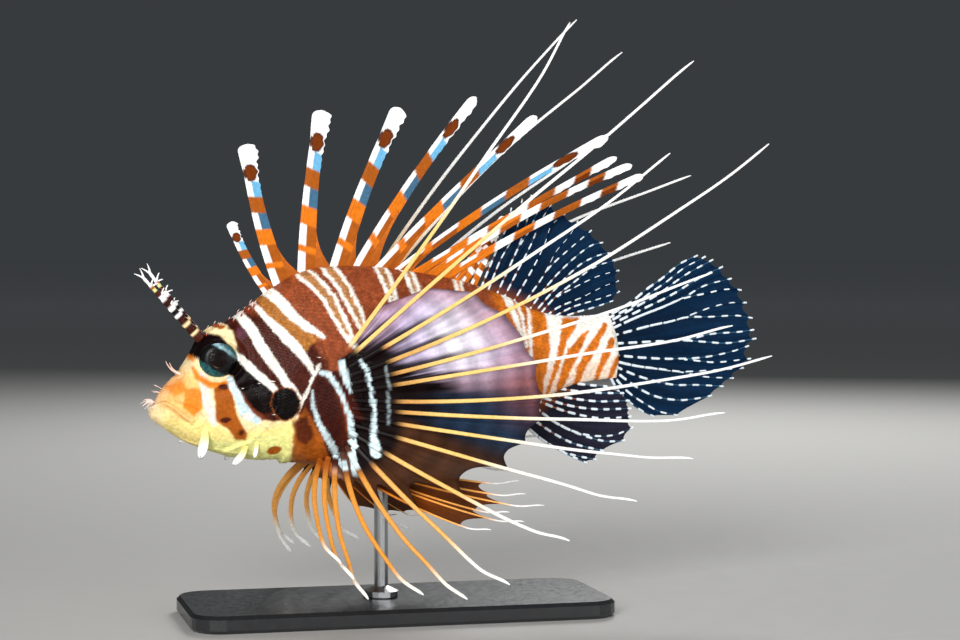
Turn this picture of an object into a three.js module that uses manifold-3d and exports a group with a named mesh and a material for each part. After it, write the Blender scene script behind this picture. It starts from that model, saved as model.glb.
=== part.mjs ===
// A still, life-size model of a spotfin lionfish on a plain display stand.
// Millimetres, +Z up. The fish faces -X and its left side faces -Y. The origin is the middle of the
// underside of the stand. The fish itself is laid out level, in a frame of its own with x from the snout
// to the tail, and is then tipped head down and lifted onto the stand.
import * as THREE from 'three';
import { mergeVertices } from 'three/addons/utils/BufferGeometryUtils.js';
import Module from 'manifold-3d';

const wasm = await Module();
wasm.setup();

// Driving dimensions
const gap = 0.3; // clear space between pieces that touch
const standardLength = 137; // from the snout to the root of the tail fin
const headDown = THREE.MathUtils.degToRad(7); // tilt of the body's line
const snoutAt = new THREE.Vector3(-70, 0, 59.8); // the snout's tip above the stand
const eye = { x: 19.7, y: 6.3, z: 12.2, radius: 6.1, depth: 4.8, around: 14, down: 8 };
const stand = { length: 122, width: 50, thickness: 5, corner: 9, bevel: 1, cornerSteps: 3 };
const rod = { x: -4, radius: 2, collar: 5, collarHeight: 1.6, slopeHeight: 3, top: 60, sides: 18 };
const bodyMesh = { rings: 24, around: 20, crowding: 1.3, noseTip: 0.5 };

// Fin rays: half their width and half their thickness, each at the root and at the tip, and half the web's
const pectoralRay = { half: [0.6, 0.42], crest: [0.62, 0.36], web: 0.27, webSteps: 2 };
const pelvicRay = { half: [0.5, 0.35], crest: [0.5, 0.3], web: 0.26, webSteps: 2, webShare: 0.8 };
const softRay = { half: [0.5, 0.4], crest: [0.62, 0.32], web: 0.27, webSteps: 1, webShare: 0.96 };
const dorsalSpine = { crest: [0.75, 0.4], web: 0.27, webSteps: 1, webHeight: 9, waistAt: 0.6, lobeFrom: 0.8 };

// The body's stations from the snout to the root of the tail fin: x, the back's height, the belly's height,
// half the width, the height of the widest level, and how full the section is above and below that level.
const bodyStations = [
  [0, 1.4, -2.6, 2.8, -0.8, 2.0, 2.0],
  [1.5, 3.2, -4.2, 4.9, -0.8, 2.0, 2.0],
  [4, 6.0, -6.4, 6.8, -0.6, 2.0, 2.1],
  [8, 9.3, -9.8, 8.3, -0.6, 2.0, 2.1],
  [12, 13.4, -12.2, 9.0, -0.6, 2.6, 2.1],
  [16, 17.8, -14.2, 9.6, -0.6, 3.2, 2.1],
  [22, 20.8, -16.6, 10.6, -0.4, 3.0, 2.1],
  [30, 25.2, -18.6, 12.2, 0, 2.3, 2.2],
  [38, 29.9, -20.3, 13.7, 0, 1.9, 2.3],
  [47, 33.4, -22.2, 14.4, 0, 1.8, 2.4],
  [56, 34.0, -22.6, 14.2, 0.5, 1.8, 2.4],
  [68, 32.4, -21.8, 13.0, 1, 1.8, 2.2],
  [80, 29.4, -21.0, 10.8, 1.5, 1.8, 2.0],
  [92, 25.6, -19.8, 8.6, 1.5, 1.8, 2.0],
  [105, 19.5, -17.2, 6.2, 1, 1.8, 2.0],
  [115, 13.4, -12.0, 4.6, 0.5, 1.9, 2.0],
  [125, 10.6, -9.5, 3.5, 0.3, 2.0, 2.0],
  [standardLength, 9.8, -9.3, 2.5, 0.2, 2.2, 2.2],
];
const column = { back: 1, belly: 2, half: 3, widest: 4, fullAbove: 5, fullBelow: 6 };

// Swellings of the head, raised outward from the section: centre, spread and height. Both sides are alike.
const headRelief = [
  { x: 19.0, y: 5.8, z: 19.5, spread: [5.5, 2.4, 5], rise: 2.2 }, // brow over the eye
  { x: 18.0, y: 0, z: 20.0, spread: [6.0, 2.4, 5], rise: -1.2 }, // groove between the brows
  { x: 19.6, y: 9.0, z: 12.2, spread: [8.5, 4.0, 8.5], rise: 0.9 }, // rim of the eye socket
  { x: 8.0, y: 7.5, z: 0, spread: [4.0, 4.0, 4.0], rise: 0.5 }, // rear end of the upper jaw
  { x: 25.0, y: 12.0, z: 0.5, spread: [7.0, 5.0, 2.2], rise: 0.6 }, // ridge across the cheek
];

// Outlines of the head's pieces in side view, as x and z
const gillLine = [
  [36, 38], [37, 29], [42.5, 20], [46.6, 12.5], [47.2, 7], [41.2, -1.7], [37, -9.5], [35.4, -17], [31, -26],
];
const jawOutline = [
  [-6, 0.7], [0.6, 0.9], [3.6, 2.2], [7.4, -0.6], [12.4, -2.9], [17, -6.5], [19, -12], [18, -24], [-6, -24],
];
const coverOutline = [[28, 11], [44, 14.5], [60, 9], [46, -5], [33.5, -15], [25.5, -12.5], [26.5, -2]];
const coverDepth = 8.5; // the gill covers are the sides of the head beyond this distance from the middle
const tailCut = 119; // x of the cut between the trunk and the narrow root of the tail
const above = 50; // heights and a length that lie outside the fish
const below = -40;
const beyond = 200;
const across = 40;

// A fin ray is drawn in side view by its root, the angle and length of its chord, and its bow, which is how
// far its middle stands off the chord, up positive. Angles are from straight back, up positive.
const pectoralRays = {
  left: [
    [49.5, 109, -1], [34, 127, 1], [27, 107, -2], [22, 135, -6], [10, 106, -2], [2, 109, 0],
    [-1.5, 120, -4.5], [-9, 105, -1.5], [-15.5, 96, -0.5], [-23.5, 81, 0], [-36, 65, -1], [-53, 56, -1],
    [-63, 49, -3], [-74, 40, -4.4], [-94.5, 36, -3], [-98, 30, -3.2], [-102, 25, -3.3],
  ],
  right: [
    [43.5, 128, 4], [36.5, 132, 6], [30, 113, 4], [19.5, 130, 6], [13, 116, 3], [2, 116, 4],
    [-4, 92, 0], [-10, 80, 0], [-17, 70, 0], [-26, 62, 0], [-40, 50, -1], [-58, 42, -3],
    [-78, 35, -5], [-94, 31, -5.5], [-98, 32, -7], [-103, 33, -8], [-98, 30, -8],
  ],
};
// The line of the pectoral ray roots on the left side, from the highest ray to the lowest
const pectoralRootLine = [
  [55, -12.2, 9.8], [55, -12.6, 0], [54, -12.2, -10.5], [51.4, -9.4, -18.4], [45, -7.4, -19.6],
];
// From the highest ray to the lowest: distance of the tips from the middle, and the web's share of the ray
const pectoralSpread = [34, 32, 30, 29, 30, 34, 38, 40, 40];
const pectoralWeb = [0.22, 0.34, 0.46, 0.45, 0.49, 0.53, 0.55, 0.5, 0.5];
const longPectoralRay = 98; // rays longer than this bend in one more place

// Dorsal spines from the front: x of the root, angle, length, bow, how far the tip leans to the right, and
// the width of the ribbon of spine and skin at the root, at its waist and at its tip
const dorsalSpines = [
  [38.5, 112, 21.5, 1.1, 0.8, 3.2, 2.6, 3.2], [42, 97.7, 39.7, 1.6, -1.6, 5.2, 4.0, 6.0],
  [48.6, 77, 45.7, 1.2, 1.6, 5.4, 4.1, 6.0], [57.2, 62, 48.4, 1.3, -2, 5.2, 4.0, 5.2],
  [62.8, 48, 60, 1.5, 2.2, 4.4, 3.0, 3.2], [68.2, 37.2, 63.4, 0.8, -2.5, 3.8, 2.7, 3.2],
  [72.8, 25.7, 72.8, 1.9, -5, 2.6, 2.2, 3.0], [77, 23, 68, 0.6, -7, 2.4, 1.9, 2.4],
  [81.5, 22.2, 66.7, 2.3, -9, 2.4, 1.9, 2.4], [85.2, 20.2, 66.4, 1.6, -5.5, 2.4, 1.9, 2.4],
  [89.8, 45, 23, 0, -1.5, 2.4, 2, 2.2], [92.8, 52, 16, 0, -1, 2.2, 1.8, 2], [95.6, 58, 16, 0, 0, 2.2, 1.8, 2],
];
// Soft fins: where their roots start and end, the number of rays, the line of the tips as x and z, and how
// far the fin sways to one side
const softDorsal = {
  from: 98.5,
  to: 118,
  rays: 11,
  sway: 2,
  tips: [[112, 43], [117.5, 47], [123, 43.8], [130, 38.6], [138, 30.5], [142, 22], [139, 13.5]],
};
const analFin = {
  from: 104,
  to: 123,
  rays: 9,
  sway: -2,
  tips: [
    [106.5, -27], [112, -30.6], [119.5, -33.4], [127, -33.2], [133, -28.8], [139.6, -24.6], [138, -17.5],
  ],
};
const caudal = {
  from: 8.6,
  to: -8.6,
  rays: 14,
  sway: 3,
  tips: [
    [147, 18.5], [158, 22.5], [166, 23.6], [176, 16], [181.5, 5],
    [182, -4], [176, -13.5], [166, -18.5], [155, -23.5], [146, -21],
  ],
};
const swayTurn = 2.2; // radians of a sine wave along the line of the tips
// Pelvic rays start together under the belly: tip x and z of each, the first one uppermost
const pelvicTips = {
  left: [[101, -35.5], [102, -39.2], [106.5, -43], [95.5, -43], [99, -46], [88.5, -46.5]],
  right: [[94, -44], [93.5, -48], [84, -46], [76.5, -45], [70, -44], [60, -40]],
};
const pelvicRoot = { x: 51, y: 3.6, z: -20.5, stepX: -0.5, stepY: 0.75 };
const pelvicSpread = { tip: 10, step: 2.2, sag: 0.8, sagStep: 0.3 };

// Feelers over the eyes: the root and the tip on each side, and the prongs on the upper side of the stalk
const browFeelers = {
  left: { root: [15.2, -6, 19.6], tip: [1.6, -9.6, 38] },
  right: { root: [16.2, 6, 20], tip: [5.4, 8.6, 38.6] },
};
const feelerBow = [-0.6, 0.6, 0.8];
const prongPlaces = [0.42, 0.58, 0.72, 0.86];
// Flaps of skin as paths from root to tip, and their thickness at both ends
const jawFlaps = {
  left: [[13.7, -7.8, -6.2], [12.9, -9.3, -9.6], [11.2, -9.7, -13.8]],
  right: [[10.5, 7.8, -6.2], [9.7, 9.3, -9.6], [8, 9.7, -10.6]],
};
const cheekFlaps = {
  left: [[24.8, -7, -12.4], [23, -8.4, -15], [20.3, -8.4, -17.2]],
  right: [[24.8, 7, -12.4], [23, 8.4, -15], [20.3, 8.4, -17.2]],
};
const flapThickness = { jaw: [0.6, 0.9], cheek: [0.6, 0.8], flatness: 0.5 };

const paint = {
  skin: new THREE.Color(0.55, 0.24, 0.10),
  pale: new THREE.Color(0.93, 0.84, 0.66),
  fin: new THREE.Color(0.86, 0.74, 0.50),
  dark: new THREE.Color(0.16, 0.17, 0.22),
  eye: new THREE.Color(0.02, 0.04, 0.05),
  stand: new THREE.Color(0.10, 0.10, 0.11),
  steel: new THREE.Color(0.72, 0.73, 0.75),
};

// A smooth value of one column of a table at x, by cubic pieces whose slopes come from the neighbours
function valueAt(table, index, x) {
  const last = table.length - 1;
  const clamped = Math.min(Math.max(x, table[0][0]), table[last][0]);
  let k = 0;
  while (k < last - 1 && table[k + 1][0] < clamped) k += 1;
  const slope = (i) => {
    const a = table[Math.max(i - 1, 0)];
    const b = table[Math.min(i + 1, last)];
    return (b[index] - a[index]) / (b[0] - a[0]);
  };
  const width = table[k + 1][0] - table[k][0];
  const t = (clamped - table[k][0]) / width;
  const rise = table[k + 1][index] - table[k][index];
  const startPull = slope(k) * width - rise;
  const endPull = rise - slope(k + 1) * width;
  return table[k][index] + rise * t + t * (1 - t) * (startPull * (1 - t) + endPull * t);
}

// A point of the body's surface: angle 0 is the back, a quarter turn is the left side
function bodyPoint(x, angle, grow) {
  const at = (name) => valueAt(bodyStations, column[name], x);
  const side = Math.sin(angle);
  const rise = Math.cos(angle);
  const full = rise >= 0 ? at('fullAbove') : at('fullBelow');
  const height = rise >= 0 ? at('back') - at('widest') : at('widest') - at('belly');
  const y = -Math.sign(side) * (at('half') + grow) * Math.abs(side) ** (2 / full);
  const z = at('widest') + Math.sign(rise) * (height + grow) * Math.abs(rise) ** (2 / full);
  const out = new THREE.Vector3(0, y, z - at('widest')).normalize();
  let swell = 0;
  for (const bump of headRelief) {
    const [sx, sy, sz] = bump.spread;
    const far = ((x - bump.x) / sx) ** 2 + ((Math.abs(y) - bump.y) / sy) ** 2 + ((z - bump.z) / sz) ** 2;
    swell += bump.rise * Math.exp(-far);
  }
  return new THREE.Vector3(x, y, z).addScaledVector(out, swell);
}

function closedGeometry(points, triangles) {
  const geometry = new THREE.BufferGeometry();
  const values = points.flatMap((p) => [p.x, p.y, p.z]);
  geometry.setAttribute('position', new THREE.Float32BufferAttribute(values, 3));
  geometry.setIndex(triangles);
  return geometry;
}

// The body as rings of points, closer together at the snout, with a fan at each end
function bodyGeometry(grow) {
  const { rings, around, crowding, noseTip } = bodyMesh;
  const points = [];
  const triangles = [];
  for (let r = 0; r <= rings; r += 1) {
    const x = standardLength * (r / rings) ** crowding;
    for (let a = 0; a < around; a += 1) {
      const point = bodyPoint(x, (2 * Math.PI * a) / around, grow);
      if (r === 0) point.x -= grow;
      if (r === rings) point.x += grow;
      points.push(point);
    }
  }
  const middle = (ring, push) => {
    const sum = new THREE.Vector3();
    for (let a = 0; a < around; a += 1) sum.add(points[ring * around + a]);
    sum.divideScalar(around);
    sum.x += push;
    return points.push(sum) - 1;
  };
  const front = middle(0, -noseTip);
  const rear = middle(rings, 0);
  for (let a = 0; a < around; a += 1) {
    const b = (a + 1) % around;
    triangles.push(front, b, a);
    triangles.push(rear, rings * around + a, rings * around + b);
    for (let r = 0; r < rings; r += 1) {
      const low = r * around;
      const high = low + around;
      triangles.push(low + a, high + b, high + a, low + a, low + b, high + b);
    }
  }
  return closedGeometry(points, triangles);
}

function solidOf(geometry) {
  const plain = geometry.clone();
  plain.deleteAttribute('normal');
  plain.deleteAttribute('uv');
  const merged = mergeVertices(plain, 1e-4);
  return new wasm.Manifold(new wasm.Mesh({
    numProp: 3,
    vertProperties: new Float32Array(merged.attributes.position.array),
    triVerts: new Uint32Array(merged.index.array),
  }));
}

// The largest piece of a cut solid, as a geometry
function geometryOf(solid) {
  const pieces = solid.decompose();
  pieces.sort((a, b) => b.volume() - a.volume());
  const mesh = pieces[0].getMesh();
  const geometry = new THREE.BufferGeometry();
  geometry.setAttribute('position', new THREE.Float32BufferAttribute(mesh.vertProperties, 3));
  geometry.setIndex(Array.from(mesh.triVerts));
  return geometry;
}

// A solid that stands on an outline in side view and reaches across the fish from one distance to another
function slab(outline, from, to) {
  const shape = new THREE.Shape(outline.map(([x, z]) => new THREE.Vector2(x, z)));
  const geometry = new THREE.ExtrudeGeometry(shape, { depth: to - from, bevelEnabled: false });
  geometry.rotateX(Math.PI / 2);
  geometry.translate(0, to, 0);
  return solidOf(geometry);
}

// The outline pushed outward from its middle
function swollen(outline, by) {
  const middle = [0, 0];
  for (const [x, z] of outline) {
    middle[0] += x / outline.length;
    middle[1] += z / outline.length;
  }
  return outline.map(([x, z]) => {
    const reach = Math.hypot(x - middle[0], z - middle[1]);
    return [x + ((x - middle[0]) * by) / reach, z + ((z - middle[1]) * by) / reach];
  });
}

// The outline of the gill covers as a smooth closed curve
function coverCurve() {
  const corners = coverOutline.map(([x, z]) => new THREE.Vector3(x, z, 0));
  const curve = new THREE.CatmullRomCurve3(corners, true, 'catmullrom', 0.4);
  return curve.getPoints(16).slice(1).map(({ x, y }) => [x, y]);
}

const slantGap = gap * 1.4; // a gap measured along x where the cut slants
const aheadOfGills = [
  [-10, above], [gillLine[0][0], above], ...gillLine, [gillLine.at(-1)[0], below], [-10, below],
];
const behindGills = [
  [gillLine[0][0] + slantGap, above], ...gillLine.map(([x, z]) => [x + slantGap, z]),
  [gillLine.at(-1)[0] + slantGap, below], [tailCut, below], [tailCut, above],
];
const behindTailCut = [[tailCut + gap, below], [beyond, below], [beyond, above], [tailCut + gap, above]];
const wholeBody = solidOf(bodyGeometry(0));
const clearOfBody = solidOf(bodyGeometry(gap));

function eyeGeometry(side, grow) {
  const geometry = new THREE.SphereGeometry(1, eye.around, eye.down);
  geometry.scale(eye.radius + grow, eye.depth + grow, eye.radius + grow);
  geometry.translate(eye.x, side * eye.y, eye.z);
  return geometry;
}

// The ring of six points round a ray: low edge, crest and high edge on the outer side, then the inner side
function rayRing(place, along, outward, half, crest, webHalf) {
  const beside = new THREE.Vector3().crossVectors(along, outward).normalize();
  const offsets = [
    [-half, webHalf], [0, crest], [half, webHalf], [half, -webHalf], [0, -crest], [-half, -webHalf],
  ];
  return offsets.map(([a, n]) => place.clone().addScaledVector(beside, a).addScaledVector(outward, n));
}

// A fin of rays with a thin web between them. Each ray is given by at(share), half(share) and crest(share),
// web is the share of its length that the web covers, and the free end runs on past the web in free steps.
// An upright fin stands in the fish's middle plane.
function finGeometry(rays, { web: webHalf, webSteps }, upright) {
  const points = [];
  const triangles = [];
  const shareAt = (ray, step) => (step <= webSteps
    ? (ray.web * step) / webSteps
    : ray.web + ((1 - ray.web) * (step - webSteps)) / ray.free);
  const firstPoint = [];
  rays.forEach((ray, i) => {
    const before = rays[Math.max(i - 1, 0)];
    const after = rays[Math.min(i + 1, rays.length - 1)];
    firstPoint.push(points.length);
    for (let step = 0; step <= webSteps + ray.free; step += 1) {
      const share = shareAt(ray, step);
      const place = ray.at(share);
      const along = ray.at(Math.min(share + 0.02, 1)).sub(ray.at(Math.max(share - 0.02, 0))).normalize();
      const outward = after.at(share).sub(before.at(share)).cross(along).normalize();
      if (upright) outward.set(0, Math.sign(outward.y), 0);
      points.push(...rayRing(place, along, outward, ray.half(share), ray.crest(share), webHalf));
    }
  });
  const corner = (ray, step, k) => firstPoint[ray] + step * 6 + k;
  const quad = (a, b, c, d) => triangles.push(a, b, c, a, c, d);
  const strip = (i, j, a, b) => {
    quad(corner(i, j, a), corner(i, j, b), corner(i, j + 1, b), corner(i, j + 1, a));
  };
  rays.forEach((ray, i) => {
    const isFirst = i === 0;
    const isLast = i === rays.length - 1;
    const steps = webSteps + ray.free;
    for (let j = 0; j < steps; j += 1) {
      for (const [a, b] of [[0, 1], [1, 2], [3, 4], [4, 5]]) strip(i, j, a, b);
      if (isLast || j >= webSteps) strip(i, j, 2, 3);
      if (isFirst || j >= webSteps) strip(i, j, 5, 0);
      if (!isLast && j < webSteps) {
        quad(corner(i, j, 2), corner(i + 1, j, 0), corner(i + 1, j + 1, 0), corner(i, j + 1, 2));
        quad(corner(i + 1, j, 5), corner(i, j, 3), corner(i, j + 1, 3), corner(i + 1, j + 1, 5));
      }
    }
    for (let k = 1; k < 5; k += 1) {
      triangles.push(corner(i, 0, 0), corner(i, 0, k + 1), corner(i, 0, k));
      triangles.push(corner(i, steps, 0), corner(i, steps, k), corner(i, steps, k + 1));
    }
    if (!isLast) {
      const edge = webSteps;
      quad(corner(i + 1, 0, 0), corner(i, 0, 2), corner(i, 0, 3), corner(i + 1, 0, 5));
      quad(corner(i, edge, 2), corner(i + 1, edge, 0), corner(i + 1, edge, 5), corner(i, edge, 3));
    }
  });
  return closedGeometry(points, triangles);
}

// A ray from root to tip whose middle is pushed off the straight line
function bowedRay(root, tip, push, web, free, half, crest) {
  const at = (share) => root.clone().lerp(tip, share).addScaledVector(push, 4 * share * (1 - share));
  return { at, web, free, half, crest };
}

// The value of an evenly spaced list at a share of its length
function listAt(list, share) {
  const place = share * (list.length - 1);
  const k = Math.min(Math.floor(place), list.length - 2);
  return list[k] + (list[k + 1] - list[k]) * (place - k);
}

const taper = ([atRoot, atTip]) => (share) => atRoot + (atTip - atRoot) * share;

function pectoralFin(side) {
  const mirror = side === 'left' ? 1 : -1;
  const line = new THREE.CatmullRomCurve3(
    pectoralRootLine.map(([x, y, z]) => new THREE.Vector3(x, y * mirror, z)),
  );
  const table = pectoralRays[side];
  const rays = table.map(([angle, length, bow], i) => {
    const share = i / (table.length - 1);
    const turn = THREE.MathUtils.degToRad(angle);
    const root = line.getPointAt(share);
    const forward = new THREE.Vector3(Math.cos(turn), 0, Math.sin(turn));
    const upward = new THREE.Vector3(-Math.sin(turn), 0, Math.cos(turn));
    const tip = root.clone().addScaledVector(forward, length);
    tip.y = -mirror * listAt(pectoralSpread, share);
    const push = upward.multiplyScalar(bow);
    const web = listAt(pectoralWeb, share);
    const free = length > longPectoralRay ? 3 : 2;
    return bowedRay(root, tip, push, web, free, taper(pectoralRay.half), taper(pectoralRay.crest));
  });
  return finGeometry(side === 'left' ? rays : rays.reverse(), pectoralRay, false);
}

// Rays that start along the body's back or belly, or the end of the tail, and end on a curve of tips
function edgeFin({ rays, tips, sway }, rootAt) {
  const margin = new THREE.SplineCurve(tips.map(([x, z]) => new THREE.Vector2(x, z)));
  const straight = new THREE.Vector3();
  const half = taper(softRay.half);
  const crest = taper(softRay.crest);
  const made = [];
  for (let i = 0; i < rays; i += 1) {
    const share = i / (rays - 1);
    const end = margin.getPointAt(share);
    const [x, z] = rootAt(share);
    const root = new THREE.Vector3(x, 0, z);
    const tip = new THREE.Vector3(end.x, sway * Math.sin(swayTurn * share), end.y);
    made.push(bowedRay(root, tip, straight, softRay.webShare, 1, half, crest));
  }
  return made;
}

const sunk = 3; // how far the roots of a fin start inside the body before they are cut off
const backAt = (x) => valueAt(bodyStations, column.back, x) - sunk;
const bellyAt = (x) => valueAt(bodyStations, column.belly, x) + sunk;

// Half the width of a dorsal spine with its skin, which narrows to a waist and widens to a lobe at its tip
function spineHalf(atRoot, atWaist, atTip) {
  const { waistAt, lobeFrom } = dorsalSpine;
  return (share) => {
    const low = THREE.MathUtils.mapLinear(Math.min(share, waistAt), 0, waistAt, atRoot, atWaist);
    const lobe = THREE.MathUtils.mapLinear(Math.max(share, lobeFrom), lobeFrom, 1, 0, atTip - atWaist);
    return (low + lobe) / 2;
  };
}

function spinyDorsal() {
  const rays = dorsalSpines.map(([x, angle, length, bow, lean, ...widths]) => {
    const turn = THREE.MathUtils.degToRad(angle);
    const root = new THREE.Vector3(x, 0, backAt(x));
    const reach = length + sunk;
    const tip = root.clone().add(new THREE.Vector3(Math.cos(turn) * reach, lean, Math.sin(turn) * reach));
    const push = new THREE.Vector3(-Math.sin(turn), 0, Math.cos(turn)).multiplyScalar(bow);
    const web = Math.min(0.4, dorsalSpine.webHeight / reach);
    const free = length > 30 ? 3 : 2;
    return bowedRay(root, tip, push, web, free, spineHalf(...widths), taper(dorsalSpine.crest));
  });
  return finGeometry(rays.reverse(), dorsalSpine, true);
}

function pelvicFin(side) {
  const mirror = side === 'left' ? 1 : -1;
  const rays = pelvicTips[side].map(([x, z], i) => {
    const rootY = pelvicRoot.y + i * pelvicRoot.stepY;
    const root = new THREE.Vector3(pelvicRoot.x + i * pelvicRoot.stepX, -mirror * rootY, pelvicRoot.z);
    const tip = new THREE.Vector3(x, -mirror * (pelvicSpread.tip + i * pelvicSpread.step), z);
    const sag = new THREE.Vector3(0, 0, -pelvicSpread.sag - pelvicSpread.sagStep * i);
    return bowedRay(root, tip, sag, pelvicRay.webShare, 1, taper(pelvicRay.half), taper(pelvicRay.crest));
  });
  return finGeometry(side === 'left' ? rays : rays.reverse(), pelvicRay, false);
}

// A rod of round section that tapers along a smooth curve, closed at both ends
function taperedRod(curve, thick, thin, flatten, sides, steps) {
  const points = [];
  const triangles = [];
  const frames = curve.computeFrenetFrames(steps, false);
  for (let s = 0; s <= steps; s += 1) {
    const radius = thick + ((thin - thick) * s) / steps;
    const place = curve.getPointAt(s / steps);
    for (let a = 0; a < sides; a += 1) {
      const turn = (2 * Math.PI * a) / sides;
      points.push(place.clone()
        .addScaledVector(frames.normals[s], radius * Math.cos(turn))
        .addScaledVector(frames.binormals[s], radius * flatten * Math.sin(turn)));
    }
  }
  for (let a = 0; a < sides; a += 1) {
    const b = (a + 1) % sides;
    for (let s = 0; s < steps; s += 1) {
      const low = s * sides;
      const high = low + sides;
      triangles.push(low + a, low + b, high + b, low + a, high + b, high + a);
    }
    if (a > 0 && b > 0) {
      triangles.push(0, b, a);
      triangles.push(steps * sides, steps * sides + a, steps * sides + b);
    }
  }
  return closedGeometry(points, triangles);
}

function curveThrough(places) {
  return new THREE.CatmullRomCurve3(places.map((place) => new THREE.Vector3(...place)));
}

// The long fringed feeler over each eye: a stalk with short prongs on its upper side
function browFeeler(side) {
  const { root, tip } = browFeelers[side];
  const bow = [feelerBow[0], side === 'left' ? feelerBow[1] : -feelerBow[1], feelerBow[2]];
  const middle = root.map((value, k) => (value + tip[k]) / 2 + bow[k]);
  const stalk = curveThrough([root, middle, tip]);
  let solid = solidOf(taperedRod(stalk, 1.5, 0.45, 0.8, 6, 5));
  for (const share of prongPlaces) {
    const { x, y, z } = stalk.getPointAt(share);
    const prong = curveThrough([[x, y, z], [x + 0.9, y, z + 1.5], [x + 1.1, y, z + 3]]);
    solid = solid.add(solidOf(taperedRod(prong, 0.5, 0.3, 1, 5, 2)));
  }
  return solid;
}

function skinFlap(path, [atRoot, atTip]) {
  return solidOf(taperedRod(curveThrough(path), atRoot, atTip, flapThickness.flatness, 6, 4));
}

const fish = new THREE.Group();
fish.rotation.y = -headDown;
fish.position.copy(snoutAt);

const model = new THREE.Group();
model.add(fish);

function addPiece(group, name, geometry, color, roughness, metalness = 0) {
  const flat = geometry.index ? geometry.toNonIndexed() : geometry;
  flat.computeVertexNormals();
  const mesh = new THREE.Mesh(flat, new THREE.MeshStandardMaterial({ color, roughness, metalness }));
  mesh.name = name;
  group.add(mesh);
}

function addBody() {
  const jaw = slab(jawOutline, -across, across);
  const clearOfJaw = slab(swollen(jawOutline, slantGap), -across, across);
  const cover = coverCurve();
  let head = wholeBody.intersect(slab(aheadOfGills, -across, across));
  addPiece(fish, 'lower_jaw', geometryOf(head.intersect(jaw)), paint.pale, 0.5);
  head = head.subtract(clearOfJaw);
  for (const [name, side] of [['left', -1], ['right', 1]]) {
    const from = side < 0 ? -across : coverDepth;
    const to = side < 0 ? -coverDepth : across;
    const clearFrom = side < 0 ? -across : coverDepth - gap;
    const clearTo = side < 0 ? -coverDepth + gap : across;
    const gillCover = head.intersect(slab(cover, from, to));
    addPiece(fish, `gill_cover_${name}`, geometryOf(gillCover), paint.skin, 0.5);
    head = head.subtract(slab(swollen(cover, slantGap), clearFrom, clearTo));
    head = head.subtract(solidOf(eyeGeometry(side, gap)));
    addPiece(fish, `eye_${name}`, eyeGeometry(side, 0), paint.eye, 0.1);
  }
  addPiece(fish, 'head', geometryOf(head), paint.skin, 0.5);
  const trunk = wholeBody.intersect(slab(behindGills, -across, across));
  addPiece(fish, 'trunk', geometryOf(trunk), paint.skin, 0.5);
  const tailRoot = wholeBody.intersect(slab(behindTailCut, -across, across));
  addPiece(fish, 'tail_root', geometryOf(tailRoot), paint.skin, 0.5);
}

// A fin starts inside the body and is cut off where it comes out, a gap away from the skin
function addFin(name, geometry, color) {
  addPiece(fish, name, geometryOf(solidOf(geometry).subtract(clearOfBody)), color, 0.6);
}

function addFins() {
  for (const side of ['left', 'right']) {
    addFin(`pectoral_fin_${side}`, pectoralFin(side), paint.fin);
    addFin(`pelvic_fin_${side}`, pelvicFin(side), paint.fin);
  }
  addFin('spiny_dorsal_fin', spinyDorsal(), paint.pale);
  const between = ({ from, to }, share) => from + (to - from) * share;
  const dorsalRoot = (share) => [between(softDorsal, share), backAt(between(softDorsal, share))];
  const analRoot = (share) => [between(analFin, share), bellyAt(between(analFin, share))];
  const tailRoot = (share) => [standardLength - sunk + 1, between(caudal, share)];
  const softFin = (rays) => finGeometry(rays, softRay, true);
  addFin('soft_dorsal_fin', softFin(edgeFin(softDorsal, dorsalRoot).reverse()), paint.dark);
  addFin('anal_fin', softFin(edgeFin(analFin, analRoot)), paint.dark);
  addFin('tail_fin', softFin(edgeFin(caudal, tailRoot)), paint.dark);
}

function addFeelers() {
  const addOutside = (name, solid) => {
    addPiece(fish, name, geometryOf(solid.subtract(clearOfBody)), paint.pale, 0.6);
  };
  for (const side of ['left', 'right']) {
    addOutside(`brow_feeler_${side}`, browFeeler(side));
    addOutside(`jaw_flap_${side}`, skinFlap(jawFlaps[side], flapThickness.jaw));
    addOutside(`cheek_flap_${side}`, skinFlap(cheekFlaps[side], flapThickness.cheek));
  }
}

function addStandBase() {
  const { length, width, thickness, corner, bevel, cornerSteps } = stand;
  const outline = new THREE.Shape();
  const halfLength = length / 2 - bevel;
  const halfWidth = width / 2 - bevel;
  const inner = corner - bevel;
  outline.absarc(halfLength - inner, halfWidth - inner, inner, 0, Math.PI / 2);
  outline.absarc(-halfLength + inner, halfWidth - inner, inner, Math.PI / 2, Math.PI);
  outline.absarc(-halfLength + inner, -halfWidth + inner, inner, Math.PI, 1.5 * Math.PI);
  outline.absarc(halfLength - inner, -halfWidth + inner, inner, 1.5 * Math.PI, 2 * Math.PI);
  const base = new THREE.ExtrudeGeometry(outline, {
    depth: thickness - 2 * bevel,
    bevelEnabled: true,
    bevelSize: bevel,
    bevelThickness: bevel,
    bevelSegments: 1,
    curveSegments: cornerSteps,
  });
  base.translate(0, 0, bevel);
  addPiece(model, 'stand_base', base, paint.stand, 0.4);
}

// The rod has a collar at its foot and ends just under the skin of the belly
function addStandRod() {
  const foot = stand.thickness + gap;
  const profile = [
    [0, foot], [rod.collar, foot], [rod.collar, foot + rod.collarHeight],
    [rod.radius, foot + rod.slopeHeight], [rod.radius, rod.top], [0, rod.top],
  ];
  const turned = new THREE.LatheGeometry(profile.map(([r, h]) => new THREE.Vector2(r, h)), rod.sides);
  turned.rotateX(Math.PI / 2);
  turned.translate(rod.x, 0, 0);
  const fishInPlace = bodyGeometry(gap);
  fish.updateMatrix();
  fishInPlace.applyMatrix4(fish.matrix);
  const solid = solidOf(turned).subtract(solidOf(fishInPlace));
  addPiece(model, 'stand_rod', geometryOf(solid), paint.steel, 0.3, 1);
}

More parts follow.
